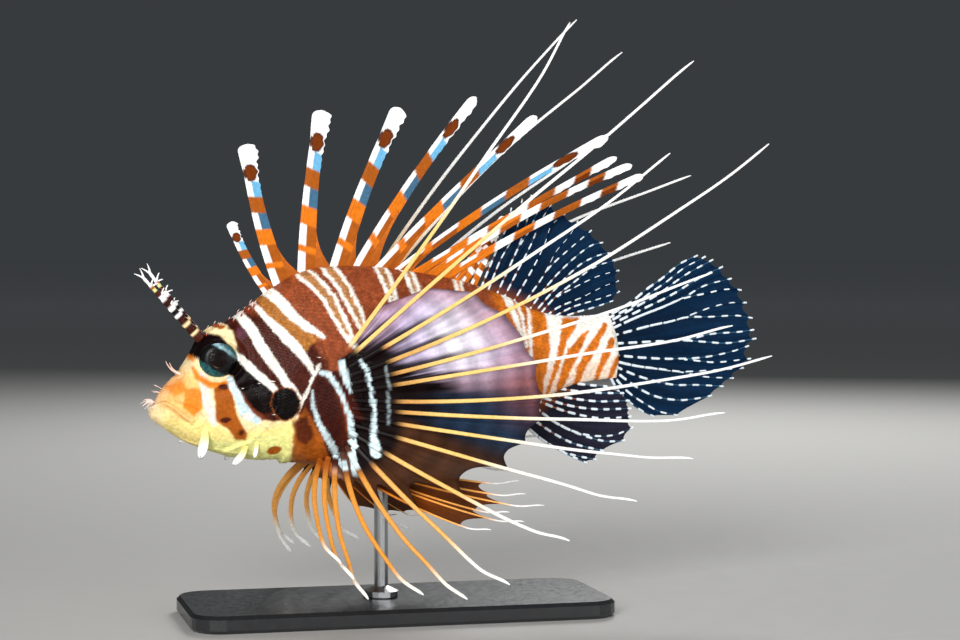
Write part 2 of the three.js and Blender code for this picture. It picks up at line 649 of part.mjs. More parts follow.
addBody();
addFins();
addFeelers();
addStandBase();
addStandRod();

export default model;
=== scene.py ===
"""A spotfin lionfish as a still, life-size display model on a flat base with one rod.

The tables hold millimetres in the fish's own frame: x from the snout to the tail, y to the fish's right
and z up, with the fish level. place() tilts and moves them into the row frame, in metres.
"""
import math
from collections import namedtuple

import bpy
import numpy as np
from bpy.props import FloatProperty, FloatVectorProperty, IntProperty, PointerProperty
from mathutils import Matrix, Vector


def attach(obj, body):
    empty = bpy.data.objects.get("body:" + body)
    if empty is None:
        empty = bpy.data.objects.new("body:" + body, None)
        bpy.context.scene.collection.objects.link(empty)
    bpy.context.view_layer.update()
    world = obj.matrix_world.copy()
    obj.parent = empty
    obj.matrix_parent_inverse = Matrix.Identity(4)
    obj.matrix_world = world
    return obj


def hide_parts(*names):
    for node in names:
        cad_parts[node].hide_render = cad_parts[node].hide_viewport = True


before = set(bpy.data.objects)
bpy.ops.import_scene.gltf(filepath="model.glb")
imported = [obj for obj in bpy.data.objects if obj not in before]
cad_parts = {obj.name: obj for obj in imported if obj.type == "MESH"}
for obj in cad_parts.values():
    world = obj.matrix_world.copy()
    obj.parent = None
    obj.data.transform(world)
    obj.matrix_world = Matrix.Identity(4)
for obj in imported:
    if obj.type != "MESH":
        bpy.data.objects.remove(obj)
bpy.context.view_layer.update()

bl_info = {
    "name": "Spotfin Lionfish",
    "version": (1, 0, 0),
    "blender": (4, 5, 0),
    "location": "View3D > Sidebar > Lionfish",
    "description": "Builds a display model of a spotfin lionfish around its packed solids",
    "category": "Object",
}

BODY = "root"
BAKE_MAP = "OFBake"
COLOUR = "Colour"
MM = 0.001

# Body sections: x, back, belly, half width, widest level, fullness above and below that level
BODY_STATIONS = np.array([
    [0, 1.4, -2.6, 2.8, -0.8, 2, 2],
    [1.5, 3.2, -4.2, 4.9, -0.8, 2, 2],
    [4, 6, -6.4, 6.8, -0.6, 2, 2.1],
    [8, 9.3, -9.8, 8.3, -0.6, 2, 2.1],
    [12, 13.4, -12.2, 9, -0.6, 2.6, 2.1],
    [16, 17.8, -14.2, 9.6, -0.6, 3.2, 2.1],
    [22, 20.8, -16.6, 10.6, -0.4, 3, 2.1],
    [30, 25.2, -18.6, 12.2, 0, 2.3, 2.2],
    [38, 29.9, -20.3, 13.7, 0, 1.9, 2.3],
    [47, 33.4, -22.2, 14.4, 0, 1.8, 2.4],
    [56, 34, -22.6, 14.2, 0.5, 1.8, 2.4],
    [68, 32.4, -21.8, 13, 1, 1.8, 2.2],
    [80, 29.4, -21, 10.8, 1.5, 1.8, 2],
    [92, 25.6, -19.8, 8.6, 1.5, 1.8, 2],
    [105, 19.5, -17.2, 6.2, 1, 1.8, 2],
    [115, 13.4, -12, 4.6, 0.5, 1.9, 2],
    [125, 10.6, -9.5, 3.5, 0.3, 2, 2],
    [137, 9.8, -9.3, 2.5, 0.2, 2.2, 2.2],
])
BACK, BELLY, HALF, WIDEST, FULL_ABOVE, FULL_BELOW = range(1, 7)

# Swells of the head: x, y, z, spread in x, y and z, rise
HEAD_SWELLS = (
    (19, 5.8, 19.5, 5.5, 2.4, 5, 2.2),
    (18, 0, 20, 6, 2.4, 5, -1.2),
    (19.6, 9, 12.2, 8.5, 4, 8.5, 0.9),
    (8, 7.5, 0, 4, 4, 4, 0.5),
    (25, 12, 0.5, 7, 5, 2.2, 0.6),
)

# Lines of the head and body in side view: x, z
GAPE = ((-3, 0.9), (0.7, 1), (2.5, 1.8), (4.1, 2.1), (6.7, 0.1), (8.9, -2.3), (10.8, -3.6))
UPPER_JAW_BONE = ((3.6, 3.4), (8, 1.9), (12.6, -0.9), (13.6, -3.2), (12, -4.8), (8.6, -2), (5.4, 1.2))
GILL_EDGE = (
    (40, 24), (42.5, 20), (46.6, 12.5), (47.2, 7), (41.2, -1.7), (37, -9.5), (35.4, -17), (33, -22),
    (28, -28),
)
CHEEK_EDGE = ((33.2, 10), (34.2, 4), (33.4, -2), (30.4, -7.6), (25.6, -11.6), (19, -13.4))
CHEEK_RIDGE = ((15.5, 4.6), (19, 3.2), (24, 3.6), (29, 4.4), (33, 5))
SIDE_LINE = ((44, 15), (70, 13), (100, 6), (136, 0.4))
THROAT = ((20, -5), (30, -7), (40, -8), (48, -18), (46, -30), (20, -30))
SCALES_FRONT = ((21, 30), (26, 20), (26.5, 8), (31, -8))
FIN_PAD = ((50, 9), (57, 10), (61, 3), (62, -8), (60, -17), (54, -21), (47, -20), (50, -8))

# Where the skin's rings change from the head's spacing to the trunk's
GILLS_X = 47.0

Patch = namedtuple("Patch", "colour blur strength outline")
Stripe = namedtuple("Stripe", "colour blur strength line core border", defaults=(None, 0))
Spot = namedtuple("Spot", "colour blur x z long high")

# Markings of the skin in side view, painted in this order. A stripe's points are x, z and half width
MARKS = (
    Patch("orange", 5, 0.9, ((101, 40), (122, 40), (120, -30), (103, -30), (106, 0), (102, 15))),
    Patch("orange", 3, 0.6, ((38, 44), (100, 44), (104, 22), (92, 26), (80, 30), (56, 34.5), (44, 32))),
    Patch("dark_brown", 3, 1, (
        (22, 24), (30, 24), (40, 22), (46, 15), (49, 8), (50, 0), (51, -10), (50, -22), (42, -22),
        (38, -10), (30, -6), (24, 2), (20, 10),
    )),
    Patch("gold_brown", 0.9, 0.9, (
        (33.2, 28), (36.5, 29.5), (42, 21.5), (48.5, 15.8), (47, 14), (44, 11.2), (41, 14), (38.3, 16.8),
        (35.6, 20.6),
    )),
    Patch("face", 0.7, 1, (
        (-9, 34), (14, 34), (22.8, 23), (24.6, 20), (25.4, 14), (22.6, 7.4), (23.5, 1), (26.5, -5.6),
        (32.5, -6.6), (39.8, -5.6), (37.6, -10.5), (36.8, -16.7), (35.6, -34), (-9, -34),
    )),
    Patch("blush", 2.2, 0.8, ((-4, 12), (7, 13), (10, 9), (6.5, 5.6), (3.4, 3.4), (0.5, 1.2), (-4, 1))),
    Patch("jaw_yellow", 3, 0.85, ((2.6, -1), (8, -3), (16, -4.5), (22, -9), (38, -7), (37, -34), (2, -34))),
    Patch("throat_green", 4, 0.8, ((13, -9), (22, -10.5), (37, -9), (37, -34), (14, -34))),
    Patch("peach", 4, 0.75, ((1, 7), (8, 11), (14, 9), (14.6, 2), (12, -4), (6, -3), (2, 2))),
    Patch("orange_pale", 1.6, 0.9, ((4.6, 6.6), (9.2, 8), (10.6, 4.6), (6.4, 3.4))),
    Patch("orange_pale", 0.8, 1, (
        (9.4, 5), (12.4, 5.6), (14.3, 4.2), (13.6, -0.6), (11.2, -2.8), (8.6, 0.2),
    )),
    Patch("orange_pale", 0.7, 1, ((12.3, 15), (13.8, 15.4), (13.2, 12.7), (12.1, 12.9))),
    Stripe("blush", 0.6, 1, (
        (14.6, 8.4, 1.2), (15, 5, 1.3), (15.2, 1, 1.3), (15.9, -3, 1.2), (16.3, -5.6, 0.7),
    )),
    Stripe("orange_pale", 0.7, 1, (
        (12.6, 11, 0.5), (13.6, 8.2, 0.8), (16, 6, 1), (18.8, 5, 1.1), (21.2, 5.6, 0.8),
    )),
    Patch("orange_brown", 0.7, 1, (
        (17.4, 4.6), (21.4, 5.4), (22, 2.4), (22.8, -3.7), (25, -9.2), (24.4, -11.4), (22, -10.6),
        (19.6, -6.8), (16.9, -4.8), (17.1, 0.6),
    )),
    Spot("dark_brown", 0.8, 20.2, 4.6, 1.7, 0.8),
    Spot("dark_brown", 0.8, 19.6, -4.6, 1.5, 0.7),
    Spot("dark_brown", 1.2, 23.4, -8.6, 0.9, 0.9),
    Patch("black_brown", 0.8, 1, (
        (13.4, 18.6), (16.6, 20.4), (21, 19), (24.6, 14.8), (27.2, 9.6), (33, 1.9), (32.4, -3.8),
        (29.9, -4.5), (27.4, -2.2), (25.4, 1.6), (22.6, 7.2), (16, 12), (13, 14),
    )),
    Stripe("pale_blue", 0.5, 1, (
        (22, 6.6, 0.7), (22.9, 3.6, 1), (23.9, -0.2, 1.2), (25.3, -3.4, 1.6), (28.1, -5.9, 0.9),
    )),
    Spot("blush", 0.6, 25.8, -4.4, 1.4, 0.9),
    Spot("dark_red_brown", 1.2, 25, 20.6, 1.2, 0.9),
    Spot("violet_brown", 1, 27.2, 19, 1.5, 1.7),
    Spot("dark_brown", 0.6, 14.4, 21.6, 1.1, 1.3),
    Spot("orange_brown", 0.7, 21.8, 21.4, 1.3, 0.9),
    Spot("orange_brown", 0.7, 19, 22.6, 0.8, 0.8),
    Stripe("cream", 0.5, 1, (
        (24.2, 14, 0.5), (25.6, 12.2, 0.9), (27.4, 9.8, 1.1), (30.1, 6.6, 1.15), (32.7, 3.5, 1),
        (34.3, 1.6, 0.7),
    )),
    Stripe("cream", 0.5, 1, (
        (26.8, 26.5, 1.2), (27.8, 23.4, 1.4), (29.8, 20, 1.55), (31.7, 14.6, 1.35), (34, 9.9, 1.35),
        (36.5, 5.2, 1.2), (38.9, 1, 0.9), (40.6, -0.9, 0.4),
    )),
    Stripe("cream", 0.5, 1, (
        (31, 28, 0.7), (33.2, 24.6, 0.8), (35.8, 20.5, 0.95), (38.5, 16.7, 1.4), (41, 13.6, 1.4),
        (42.8, 10.5, 1.2), (44.5, 7.4, 0.8), (45.2, 5.2, 0.4),
    )),
    Stripe("cream", 0.3, 0.9, (
        (46.9, 7.4, 0.3), (44.6, 3.6, 0.35), (41.2, -1.5, 0.35), (38.6, -6, 0.3),
    )),
    Stripe("cream", 0.5, 1, (
        (34.4, 32, 1.6), (37, 28.8, 1.7), (39.6, 25.7, 1.6), (42.2, 21.3, 1.45), (45.4, 18.2, 1.2),
        (49.2, 15.2, 0.6),
    )),
    Patch("orange_brown", 1.2, 0.9, (
        (37.6, -8), (41.5, -4), (43.4, -8), (46, -14), (48, -22), (44, -26), (36.5, -26), (37, -16),
    )),
    Patch("dark_brown", 1.6, 0.9, (
        (37.8, -7.5), (42, -6), (43.2, -12.5), (41, -15), (38.5, -13),
    )),
    Spot("orange_brown", 0.6, 32.3, -15.2, 2, 1.3),
    Spot("orange_brown", 0.5, 36.4, -2.1, 3.98, 4.85),
    Stripe("cream", 0.4, 1, (
        (45.6, 38, 2.5), (47.4, 33.4, 2.3), (50.2, 29.8, 2.2), (52.8, 25.4, 2.1), (54.4, 20.4, 2),
        (55.9, 15.8, 1.6), (58, 11, 0.8),
    ), "gold_brown", 1.05),
    Stripe("cream", 0.4, 1, (
        (54, 38, 2.4), (55.4, 32.6, 2.2), (57.5, 28.4, 2.1), (59.4, 22.4, 1.95), (60.6, 17.6, 1.5),
        (61.2, 13.4, 0.7),
    ), "gold_brown", 1),
    Stripe("cream", 0.4, 1, (
        (69.4, 38, 2.2), (69.9, 32.6, 2), (70.6, 28, 1.9), (71.3, 22.6, 1.5), (72, 8, 1.1),
        (72.8, -8, 1.2), (73.6, -24, 1.4),
    ), "gold_brown", 1.2),
    Stripe("cream", 0.4, 1, (
        (77.2, 36, 1.9), (77.6, 30.6, 1.8), (78.2, 25.8, 1.6), (79, 20.8, 1.3), (79.8, 6, 1),
        (81, -9, 1.1), (82.6, -24, 1.3),
    ), "gold_brown", 1.1),
    Stripe("cream", 0.4, 1, (
        (92.8, 32, 1.7), (92.4, 26.4, 1.6), (91.6, 20.8, 1.3), (91.2, 8, 1), (92, -6, 1),
        (93.6, -22, 1.2),
    ), "orange_pale", 1),
    Stripe("cream", 0.3, 0.8, ((64.8, -12, 0.4), (66, -20, 0.6), (66.6, -26, 0.7))),
    Stripe("cream", 0.3, 0.9, ((85.6, 3, 0.3), (86.4, -9, 0.6), (87.8, -24, 0.7))),
    Stripe("cream", 0.4, 1, (
        (105.2, 22, 1.5), (106.4, 17.5, 1.3), (107.3, 12, 0.9), (108.4, 7, 0.5), (107.4, -6, 0.4),
        (106.6, -18, 0.6),
    )),
    Stripe("cream", 0.3, 1, ((108.9, 18, 0.5), (109.4, 12, 0.65), (109.5, 4, 0.4))),
    Stripe("cream", 0.3, 1, (
        (112.1, 17.6, 0.6), (111.9, 12, 0.7), (110.9, 7, 0.6), (110.2, 1, 0.4), (109.6, -14, 0.4),
    )),
    Patch("orange", 0.8, 0.7, ((112.6, 20), (117.2, 20), (116.8, 2), (113.6, -14), (110, -14), (111.4, 3))),
    Patch("cream", 0.5, 1, ((117.2, 20), (145, 20), (145, -20), (112.4, -20), (113.6, -7), (116.6, 2))),
    Patch("orange_pale", 2.4, 0.35, ((113, -3), (137, -3), (137, -12), (112, -12))),
    Stripe("orange", 0.35, 1, (
        (125.2, 11.6, 2.6), (123.6, 8.4, 2.2), (121.3, 4.8, 1.3), (118.4, -1.8, 0.9), (115.9, -7.3, 0.7),
        (114.6, -11, 0.6),
    )),
    Stripe("orange", 0.35, 1, (
        (128.9, 5.6, 0.4), (126.4, 3.4, 1.2), (123.4, 0, 1.8), (120.8, -4.4, 1.5), (118.6, -10, 1),
    )),
    Stripe("orange", 0.35, 1, (
        (134.4, 6.6, 0.9), (131.2, 2.6, 1.1), (127.8, -1.4, 1.5), (125.2, -5.4, 1.3), (123.8, -9.6, 0.9),
    )),
    Stripe("orange", 0.35, 1, (
        (136.2, 1.8, 1), (133.6, -2, 1.2), (131.4, -5.6, 0.9), (130, -9.6, 0.6),
    )),
    Stripe("orange", 0.35, 1, ((138, -3.4, 0.8), (135.6, -6.6, 0.9), (134.4, -9.6, 0.6))),
    Stripe("white", 0.9, 0.8, ((118, 12.5, 1), (126, 10.8, 0.8), (137, 10, 1.2))),
    Patch("black_brown", 1.3, 1, (
        (52.4, 8.4), (57, 10), (64, 10.5), (72, 7), (76, 0), (76, -8), (72, -18), (66, -26), (52, -27),
        (53.5, -19), (54.6, -10), (54.8, 0),
    )),
    Patch("dark_red_brown", 1.4, 0.9, (
        (45.4, 4), (50.4, 1.5), (52.2, -6), (53.5, -18), (53, -27), (48.5, -24), (46.5, -15), (45.4, -8),
        (44.6, 0),
    )),
    Stripe("dark_red_brown", 0.7, 1, ((51.4, 4.2, 1.1), (54.6, -3.4, 1.2), (56.6, -9, 1))),
    Stripe("pale_blue", 0.4, 0.9, (
        (43.9, 0.6, 0.3), (43.8, -3.4, 0.5), (44.7, -7.8, 0.65), (46.4, -12.5, 0.85), (48.9, -17, 0.9),
        (50.8, -22.5, 0.9),
    )),
    Stripe("pale_blue", 0.4, 1, (
        (47, 5.4, 0.6), (49.5, 4.1, 0.9), (51.3, 0.8, 0.7), (52.8, -4.2, 0.55), (53.8, -8.3, 0.75),
        (54.3, -13.7, 0.9), (53.8, -18.2, 0.9), (53.2, -24.4, 0.9),
    )),
    Stripe("pale_blue", 0.5, 1, ((53.6, 7.2, 1), (54.1, 2.7, 1.05), (54.8, -1.6, 0.3))),
    Stripe("pale_blue", 0.4, 1, (
        (59, 6.4, 0.6), (60.4, 2.9, 0.6), (60.7, -2.1, 0.45), (60.9, -8.3, 0.6), (59.8, -14.2, 0.9),
        (59.8, -19.4, 1.5),
    )),
    Stripe("pale_blue", 0.5, 0.35, ((65.6, 4.6, 0.3), (65.8, 0.9, 0.3), (64.4, -11.8, 0.35))),
    Spot("black", 0.4, 36.4, -2.1, 3.75, 4.6),
)

# Rays of the side fins: angle above level in degrees, length, bow
PECTORAL_RAYS = {
    "left": (
        (49.5, 109, -1), (34, 127, 1), (27, 107, -2), (22, 135, -6), (10, 106, -2), (2, 109, 0),
        (-1.5, 120, -4.5), (-9, 105, -1.5), (-15.5, 96, -0.5), (-23.5, 81, 0), (-36, 65, -1), (-53, 56, -1),
        (-63, 49, -3), (-74, 40, -4.4), (-94.5, 36, -3), (-98, 30, -3.2), (-102, 25, -3.3),
    ),
    "right": (
        (43.5, 128, 4), (36.5, 132, 6), (30, 113, 4), (19.5, 130, 6), (13, 116, 3), (2, 116, 4),
        (-4, 92, 0), (-10, 80, 0), (-17, 70, 0), (-26, 62, 0), (-40, 50, -1), (-58, 42, -3),
        (-78, 35, -5), (-94, 31, -5.5), (-98, 32, -7), (-103, 33, -8), (-98, 30, -8),
    ),
}
# The fin's base from its first ray to its last, on the left, and how far each part stands out sideways
PECTORAL_ROOTS = (
    (55, -12.2, 9.8), (55, -12.6, 0), (54, -12.2, -10.5), (51.4, -9.4, -18.4), (45, -7.4, -19.6),
)
PECTORAL_SPREAD = (34, 32, 30, 29, 30, 34, 38, 40, 40)
# How far the web reaches along each ray, and how deep its margin is cut between two rays
PECTORAL_REACH = (16, 30, 41, 46.5, 50, 53, 54, 53.5, 49, 45, 38, 33, 28, 18, 12.5, 9, 7.5)
PECTORAL_NOTCH = (0.05, 0.04, 0.03, 0.02, 0.02, 0.02, 0.02, 0.03, 0.07, 0.2, 0.4, 0.55, 0.62, 0.6, 0.5, 0.4)

# Dorsal spines: x, angle, length, bow, lean, and the ribbon's width at its root, waist and tip
DORSAL_SPINES = (
    (38.5, 112, 21.5, 1.1, 0.8, 3.2, 2.6, 3.2), (42, 97.7, 39.7, 1.6, -1.6, 5.2, 4, 6),
    (48.6, 77, 45.7, 1.2, 1.6, 5.4, 4.1, 6), (57.2, 62, 48.4, 1.3, -2, 5.2, 4, 5.2),
    (62.8, 48, 60, 1.5, 2.2, 4.4, 3, 3.2), (68.2, 37.2, 63.4, 0.8, -2.5, 3.8, 2.7, 3.2),
    (72.8, 25.7, 72.8, 1.9, -5, 2.6, 2.2, 3), (77, 23, 68, 0.6, -7, 2.4, 1.9, 2.4),
    (81.5, 22.2, 66.7, 2.3, -9, 2.4, 1.9, 2.4), (85.2, 20.2, 66.4, 1.6, -5.5, 2.4, 1.9, 2.4),
    (89.8, 45, 23, 0, -1.5, 2.4, 2, 2.2), (92.8, 52, 16, 0, -1, 2.2, 1.8, 2),
    (95.6, 58, 16, 0, 0, 2.2, 1.8, 2),
)
# Bands of a spine from its tip down: where each ends as a share, then its colour on the spine and on the skin
SPINE_BANDS = (
    (0.14, "white", "white"), (0.245, "white", "white"), (0.35, "white", "sky"),
    (0.46, "orange_brown", "orange_brown"), (0.57, "white", "steel_blue"), (0.68, "orange", "orange"),
    (0.80, "white", "orange_brown"), (0.84, "orange", "orange"), (1.01, "white", "orange_brown"),
)
LATE_SPINE_BANDS = (
    (0.12, "white", "white"), (0.20, "orange_brown", "spot_brown"), (0.29, "white", "white"),
    (0.42, "orange_brown", "orange_brown"), (0.51, "white", "white"), (0.61, "orange", "orange_brown"),
    (0.70, "white", "white"), (0.79, "orange", "orange"), (0.87, "white", "orange"),
    (1.01, "orange", "orange"),
)
# The first spine with the late bands, counted from 0
SPINE_WITH_LATE_BANDS = 7

# Rays of the soft fins in side view, from the root out. A second line is a fork, towards the next ray
TAIL_RAYS = (
    (((135, 8.6), (143.5, 12), (149.2, 15.4), (153.8, 17.7), (160.5, 21.6), (166, 23.3)), ()),
    (((135, 8), (144.2, 10.9), (150.2, 14.2), (155.2, 16.6), (161.6, 20.2), (168.6, 22.6)), ()),
    (((135, 6.8), (147.9, 11.6), (152.4, 13.3), (161.8, 18), (171, 21.4)), ()),
    (((135, 5.8), (145.8, 9.2), (156.7, 12.6), (166, 16.4), (174, 18.9)), ()),
    (((135, 4.6), (145.7, 7.6), (153.7, 9.4), (160.1, 11.1), (167.5, 13.9), (176.5, 15)),
     ((135, 4.6), (145.7, 7.6), (153.7, 9.4), (160.1, 11), (167.2, 11.6), (174.4, 12), (179.2, 11.2))),
    (((135, 2.8), (149.6, 4.5), (155.8, 4.9), (160.3, 5.6), (169, 7.4), (175.7, 7.9), (180.5, 7.2)),
     ((135, 2.8), (149.6, 4.5), (155.8, 4.9), (160.3, 5.4), (168.2, 4.6), (177.4, 3.7), (181.8, 2.4))),
    (((135, 0.9), (150, -0.4), (159.5, -1.3), (167.6, -0.6), (177.3, -1.2), (182, -1.2)),
     ((135, 0.9), (150, -0.4), (159.5, -1.4), (166, -2.7), (172.9, -4), (182.4, -3.9))),
    (((135, -2.2), (145.9, -4.7), (154.9, -6.3), (164.6, -7.2), (174, -6.8), (179.9, -5.8)),
     ((135, -2.2), (145.9, -4.7), (154.9, -6.3), (160, -7.3), (168.3, -9.2), (180.1, -9.7))),
    (((135, -3.8), (143.4, -6.8), (149.8, -8.5), (157.5, -10.4), (168, -11.4), (177.5, -12.2)),
     ((135, -3.8), (143.4, -6.8), (149.8, -8.5), (157.5, -10.6), (164, -12.8), (174, -14.8))),
    (((135, -5), (143.5, -9.8), (151, -12.9), (154.9, -14.1), (162.4, -15.2), (170.5, -16.8)), ()),
    (((135, -6), (143.1, -13.3), (148.8, -16.8), (156.1, -18.9), (162.3, -19.2), (166.5, -19)), ()),
    (((134.8, -6.8), (139.5, -13.6), (146.3, -19.4), (149.6, -21.5), (155.1, -23.4)), ()),
    (((134.4, -7.8), (137.3, -13.9), (141.8, -18.7), (144.8, -21), (147.6, -22.6)), ()),
)
ANAL_RAYS = (
    (((104.5, -16), (112, -24.3), (119, -29.6), (124.7, -33.1)),
     ((104.5, -16), (112, -24.3), (119, -29.3), (127.8, -32.6))),
    (((107, -15), (114, -21.6), (121, -26.6), (130, -30.2)), ()),
    (((110, -13.6), (117, -20.2), (124.5, -24.8), (131, -27.4), (136.8, -28)),
     ((110, -13.6), (117, -20.2), (124.5, -24.4), (133, -25.9), (139.7, -24.5))),
    (((112, -12.8), (120, -17), (130, -20.4), (139.5, -21.2)), ()),
    (((113.6, -12), (120.5, -15.2), (129, -17.6), (139.6, -18.8)), ()),
    (((115.5, -11), (122, -13.4), (130, -15.4), (139.2, -16.4)), ()),
    (((118, -9.8), (124, -11.6), (131, -13), (137.8, -14)), ()),
    (((122, -8.8), (127.5, -10.2), (133, -11.4)), ()),
)
SOFT_DORSAL_RAYS = (
    (((98.5, 21), (103.1, 29), (106, 34), (109, 39), (111, 44)), ()),
    (((100.5, 20), (105.9, 29.5), (109, 33.6), (111.8, 37.8), (114.6, 46)), ()),
    (((103, 18.8), (109.3, 28.6), (111.8, 32.5), (114.6, 38), (117.6, 47)),
     ((103, 18.8), (109.3, 28.6), (111.9, 32.4), (116, 37.4), (120.6, 45.2))),
    (((105, 17.6), (110.3, 25.1), (115.5, 32.3), (119.6, 39.1), (123.4, 43.6)), ()),
    (((107.6, 16), (116, 26.6), (119.9, 32.3), (122.7, 37.4), (127.3, 40.4)), ()),
    (((110, 14.6), (118.2, 23.2), (123.1, 29.9), (127.7, 33.9), (131, 37.8)),
     ((110, 14.6), (118.2, 23.2), (121.1, 25.9), (128.8, 31), (134.8, 34.6))),
    (((112, 13.2), (120, 21), (127.7, 26.7), (134.3, 30.2), (137.9, 30.6)), ()),
    (((113.6, 12.4), (121, 18.6), (130.2, 25.1), (137.2, 27.2), (140, 27.2)), ()),
    (((115, 11.6), (120.9, 16.4), (127.2, 20), (134, 23.6), (141.2, 25)),
     ((115, 11.6), (120.9, 16.2), (127.6, 18.6), (135.2, 20.9), (141.9, 21.8))),
    (((116.6, 10.8), (121.1, 13.3), (128.4, 15.3), (136.9, 18), (141.4, 18.8)), ()),
    (((118, 10.2), (125.5, 12.9), (134.2, 14.3), (141.3, 15.6)), ()),
    (((120, 9.8), (126, 11.2), (133, 12.1), (138.8, 13.2)), ()),
)
# Soft fins: rays, sideways sway, space between dashes, half width at root and tip, web and gap colours
SOFT_FINS = {
    "tail_fin": (TAIL_RAYS, 3, 4.3, (0.47, 0.28), "deep_blue", "black_brown"),
    "anal_fin": (ANAL_RAYS, -2, 3.6, (0.47, 0.36), "plum", "orange_brown"),
    "soft_dorsal_fin": (SOFT_DORSAL_RAYS, 2, 3.4, (0.36, 0.24), "deep_blue", "orange_brown"),
}
# The sway follows a wave from the first ray to the last, through this many radians
SWAY_TURN = 2.2
SOFT_RAY_POINTS = 180

# Tips of the pelvic rays in side view
PELVIC_TIPS = {
    "left": ((101, -35.5), (102, -39.2), (106.5, -43), (95.5, -43), (99, -46), (88.5, -46.5)),
    "right": ((94, -44), (93.5, -48), (84, -46), (76.5, -45), (70, -44), (60, -40)),
}

# Feelers over the eyes: root and tip
FEELER_POINTS = 70
BROW_FEELERS = {"left": ((15.2, -6, 19.6), (1.6, -9.6, 38)), "right": ((16.2, 6, 20), (5.4, 8.6, 38.6))}
# Flaps of skin under the jaw: root, middle, tip, half width and half thickness
JAW_FLAPS = {
    "left": ((13.7, -7.8, -6.2), (12.9, -9.3, -9.6), (11.2, -9.7, -13.8), 1.5, 0.45),
    "right": ((10.5, 7.8, -6.2), (9.7, 9.3, -9.6), (8, 9.7, -10.6), 1.1, 0.4),
}
CHEEK_FLAPS = {
    "left": ((24.8, -7, -12.4), (23, -8.4, -15), (20.3, -8.4, -17.2), 1.1, 0.4),
    "right": ((24.8, 7, -12.4), (23, 8.4, -15), (20.3, 8.4, -17.2), 1.1, 0.4),
}
SMALL_FLAP = ((27.8, -8, -11.4), (27.2, -9, -13.4), (26.3, -9.2, -16.1), 0.7, 0.3)


def colour_property(name, description, value):
    return FloatVectorProperty(
        name=name, description=description, subtype="COLOR_GAMMA", size=3, min=0, max=1,
        default=[part / 255 for part in value],
    )


def length_property(name, description, value):
    return FloatProperty(name=name, description=description, default=value * MM, unit="LENGTH", min=0)


class LionfishBody(bpy.types.PropertyGroup):
    """Size and attitude of the fish."""
    snout: FloatVectorProperty(
        name="Snout", description="Place of the snout's tip above the stand", subtype="TRANSLATION",
        unit="LENGTH", default=(-70 * MM, 0, 59.8 * MM))
    nose_down: FloatProperty(
        name="Nose down", description="Tilt of the body's line", subtype="ANGLE", unit="ROTATION",
        default=math.radians(7))
    length: length_property("Standard length", "From the snout to the root of the tail fin", 137)
    head_rings: IntProperty(name="Head rings", description="Rings of the skin over the head", default=128)
    trunk_rings: IntProperty(name="Trunk rings", description="Rings of the skin behind the head", default=140)
    columns: IntProperty(name="Columns", description="Points round each ring of the skin", default=352)


class LionfishCoat(bpy.types.PropertyGroup):
    """The scales."""
    depth: length_property("Coat depth", "How far the skin lies inside the body's solids", 0.2)
    overlap: FloatProperty(
        name="Overlap", description="Length of a scale in steps between its rows", default=2.3, min=1)
    lift: length_property("Lift", "Height of a scale's free edge over the skin", 0.06)
    width: FloatProperty(
        name="Width", description="Width of a scale in steps across its row", default=1.26, min=0.5)


class LionfishEye(bpy.types.PropertyGroup):
    """The eyes."""
    centre: FloatVectorProperty(
        name="Centre", description="Middle of the right eyeball in the fish's frame",
        subtype="TRANSLATION", unit="LENGTH", default=(19.7 * MM, 6.3 * MM, 12.2 * MM))
    radius: length_property("Radius", "Radius of the eyeball in side view", 6.1)
    bulge: length_property("Bulge", "Radius of the eyeball across the fish", 4.8)
    opening: length_property("Opening", "Half length of the opening in the skin", 5.7)
    opening_height: FloatProperty(
        name="Opening height", description="Height of the opening over its length", default=0.88, min=0.3)
    pupil: length_property("Pupil", "Radius of the pupil", 3.0)


class LionfishFins(bpy.types.PropertyGroup):
    """Thickness of rays and webs."""
    ray_root: length_property("Ray at root", "Half width of a long ray at its root", 0.66)
    ray_tip: length_property("Ray at tip", "Half width of a long ray at its tip", 0.34)
    soft_root: length_property("Soft ray at root", "Half width of a soft ray at its root", 0.4)
    soft_tip: length_property("Soft ray at tip", "Half width of a soft ray at its tip", 0.22)
    web: length_property("Web", "Half thickness of the web between rays", 0.1)
    billow: length_property("Billow", "How far a web hangs between its rays", 1.3)


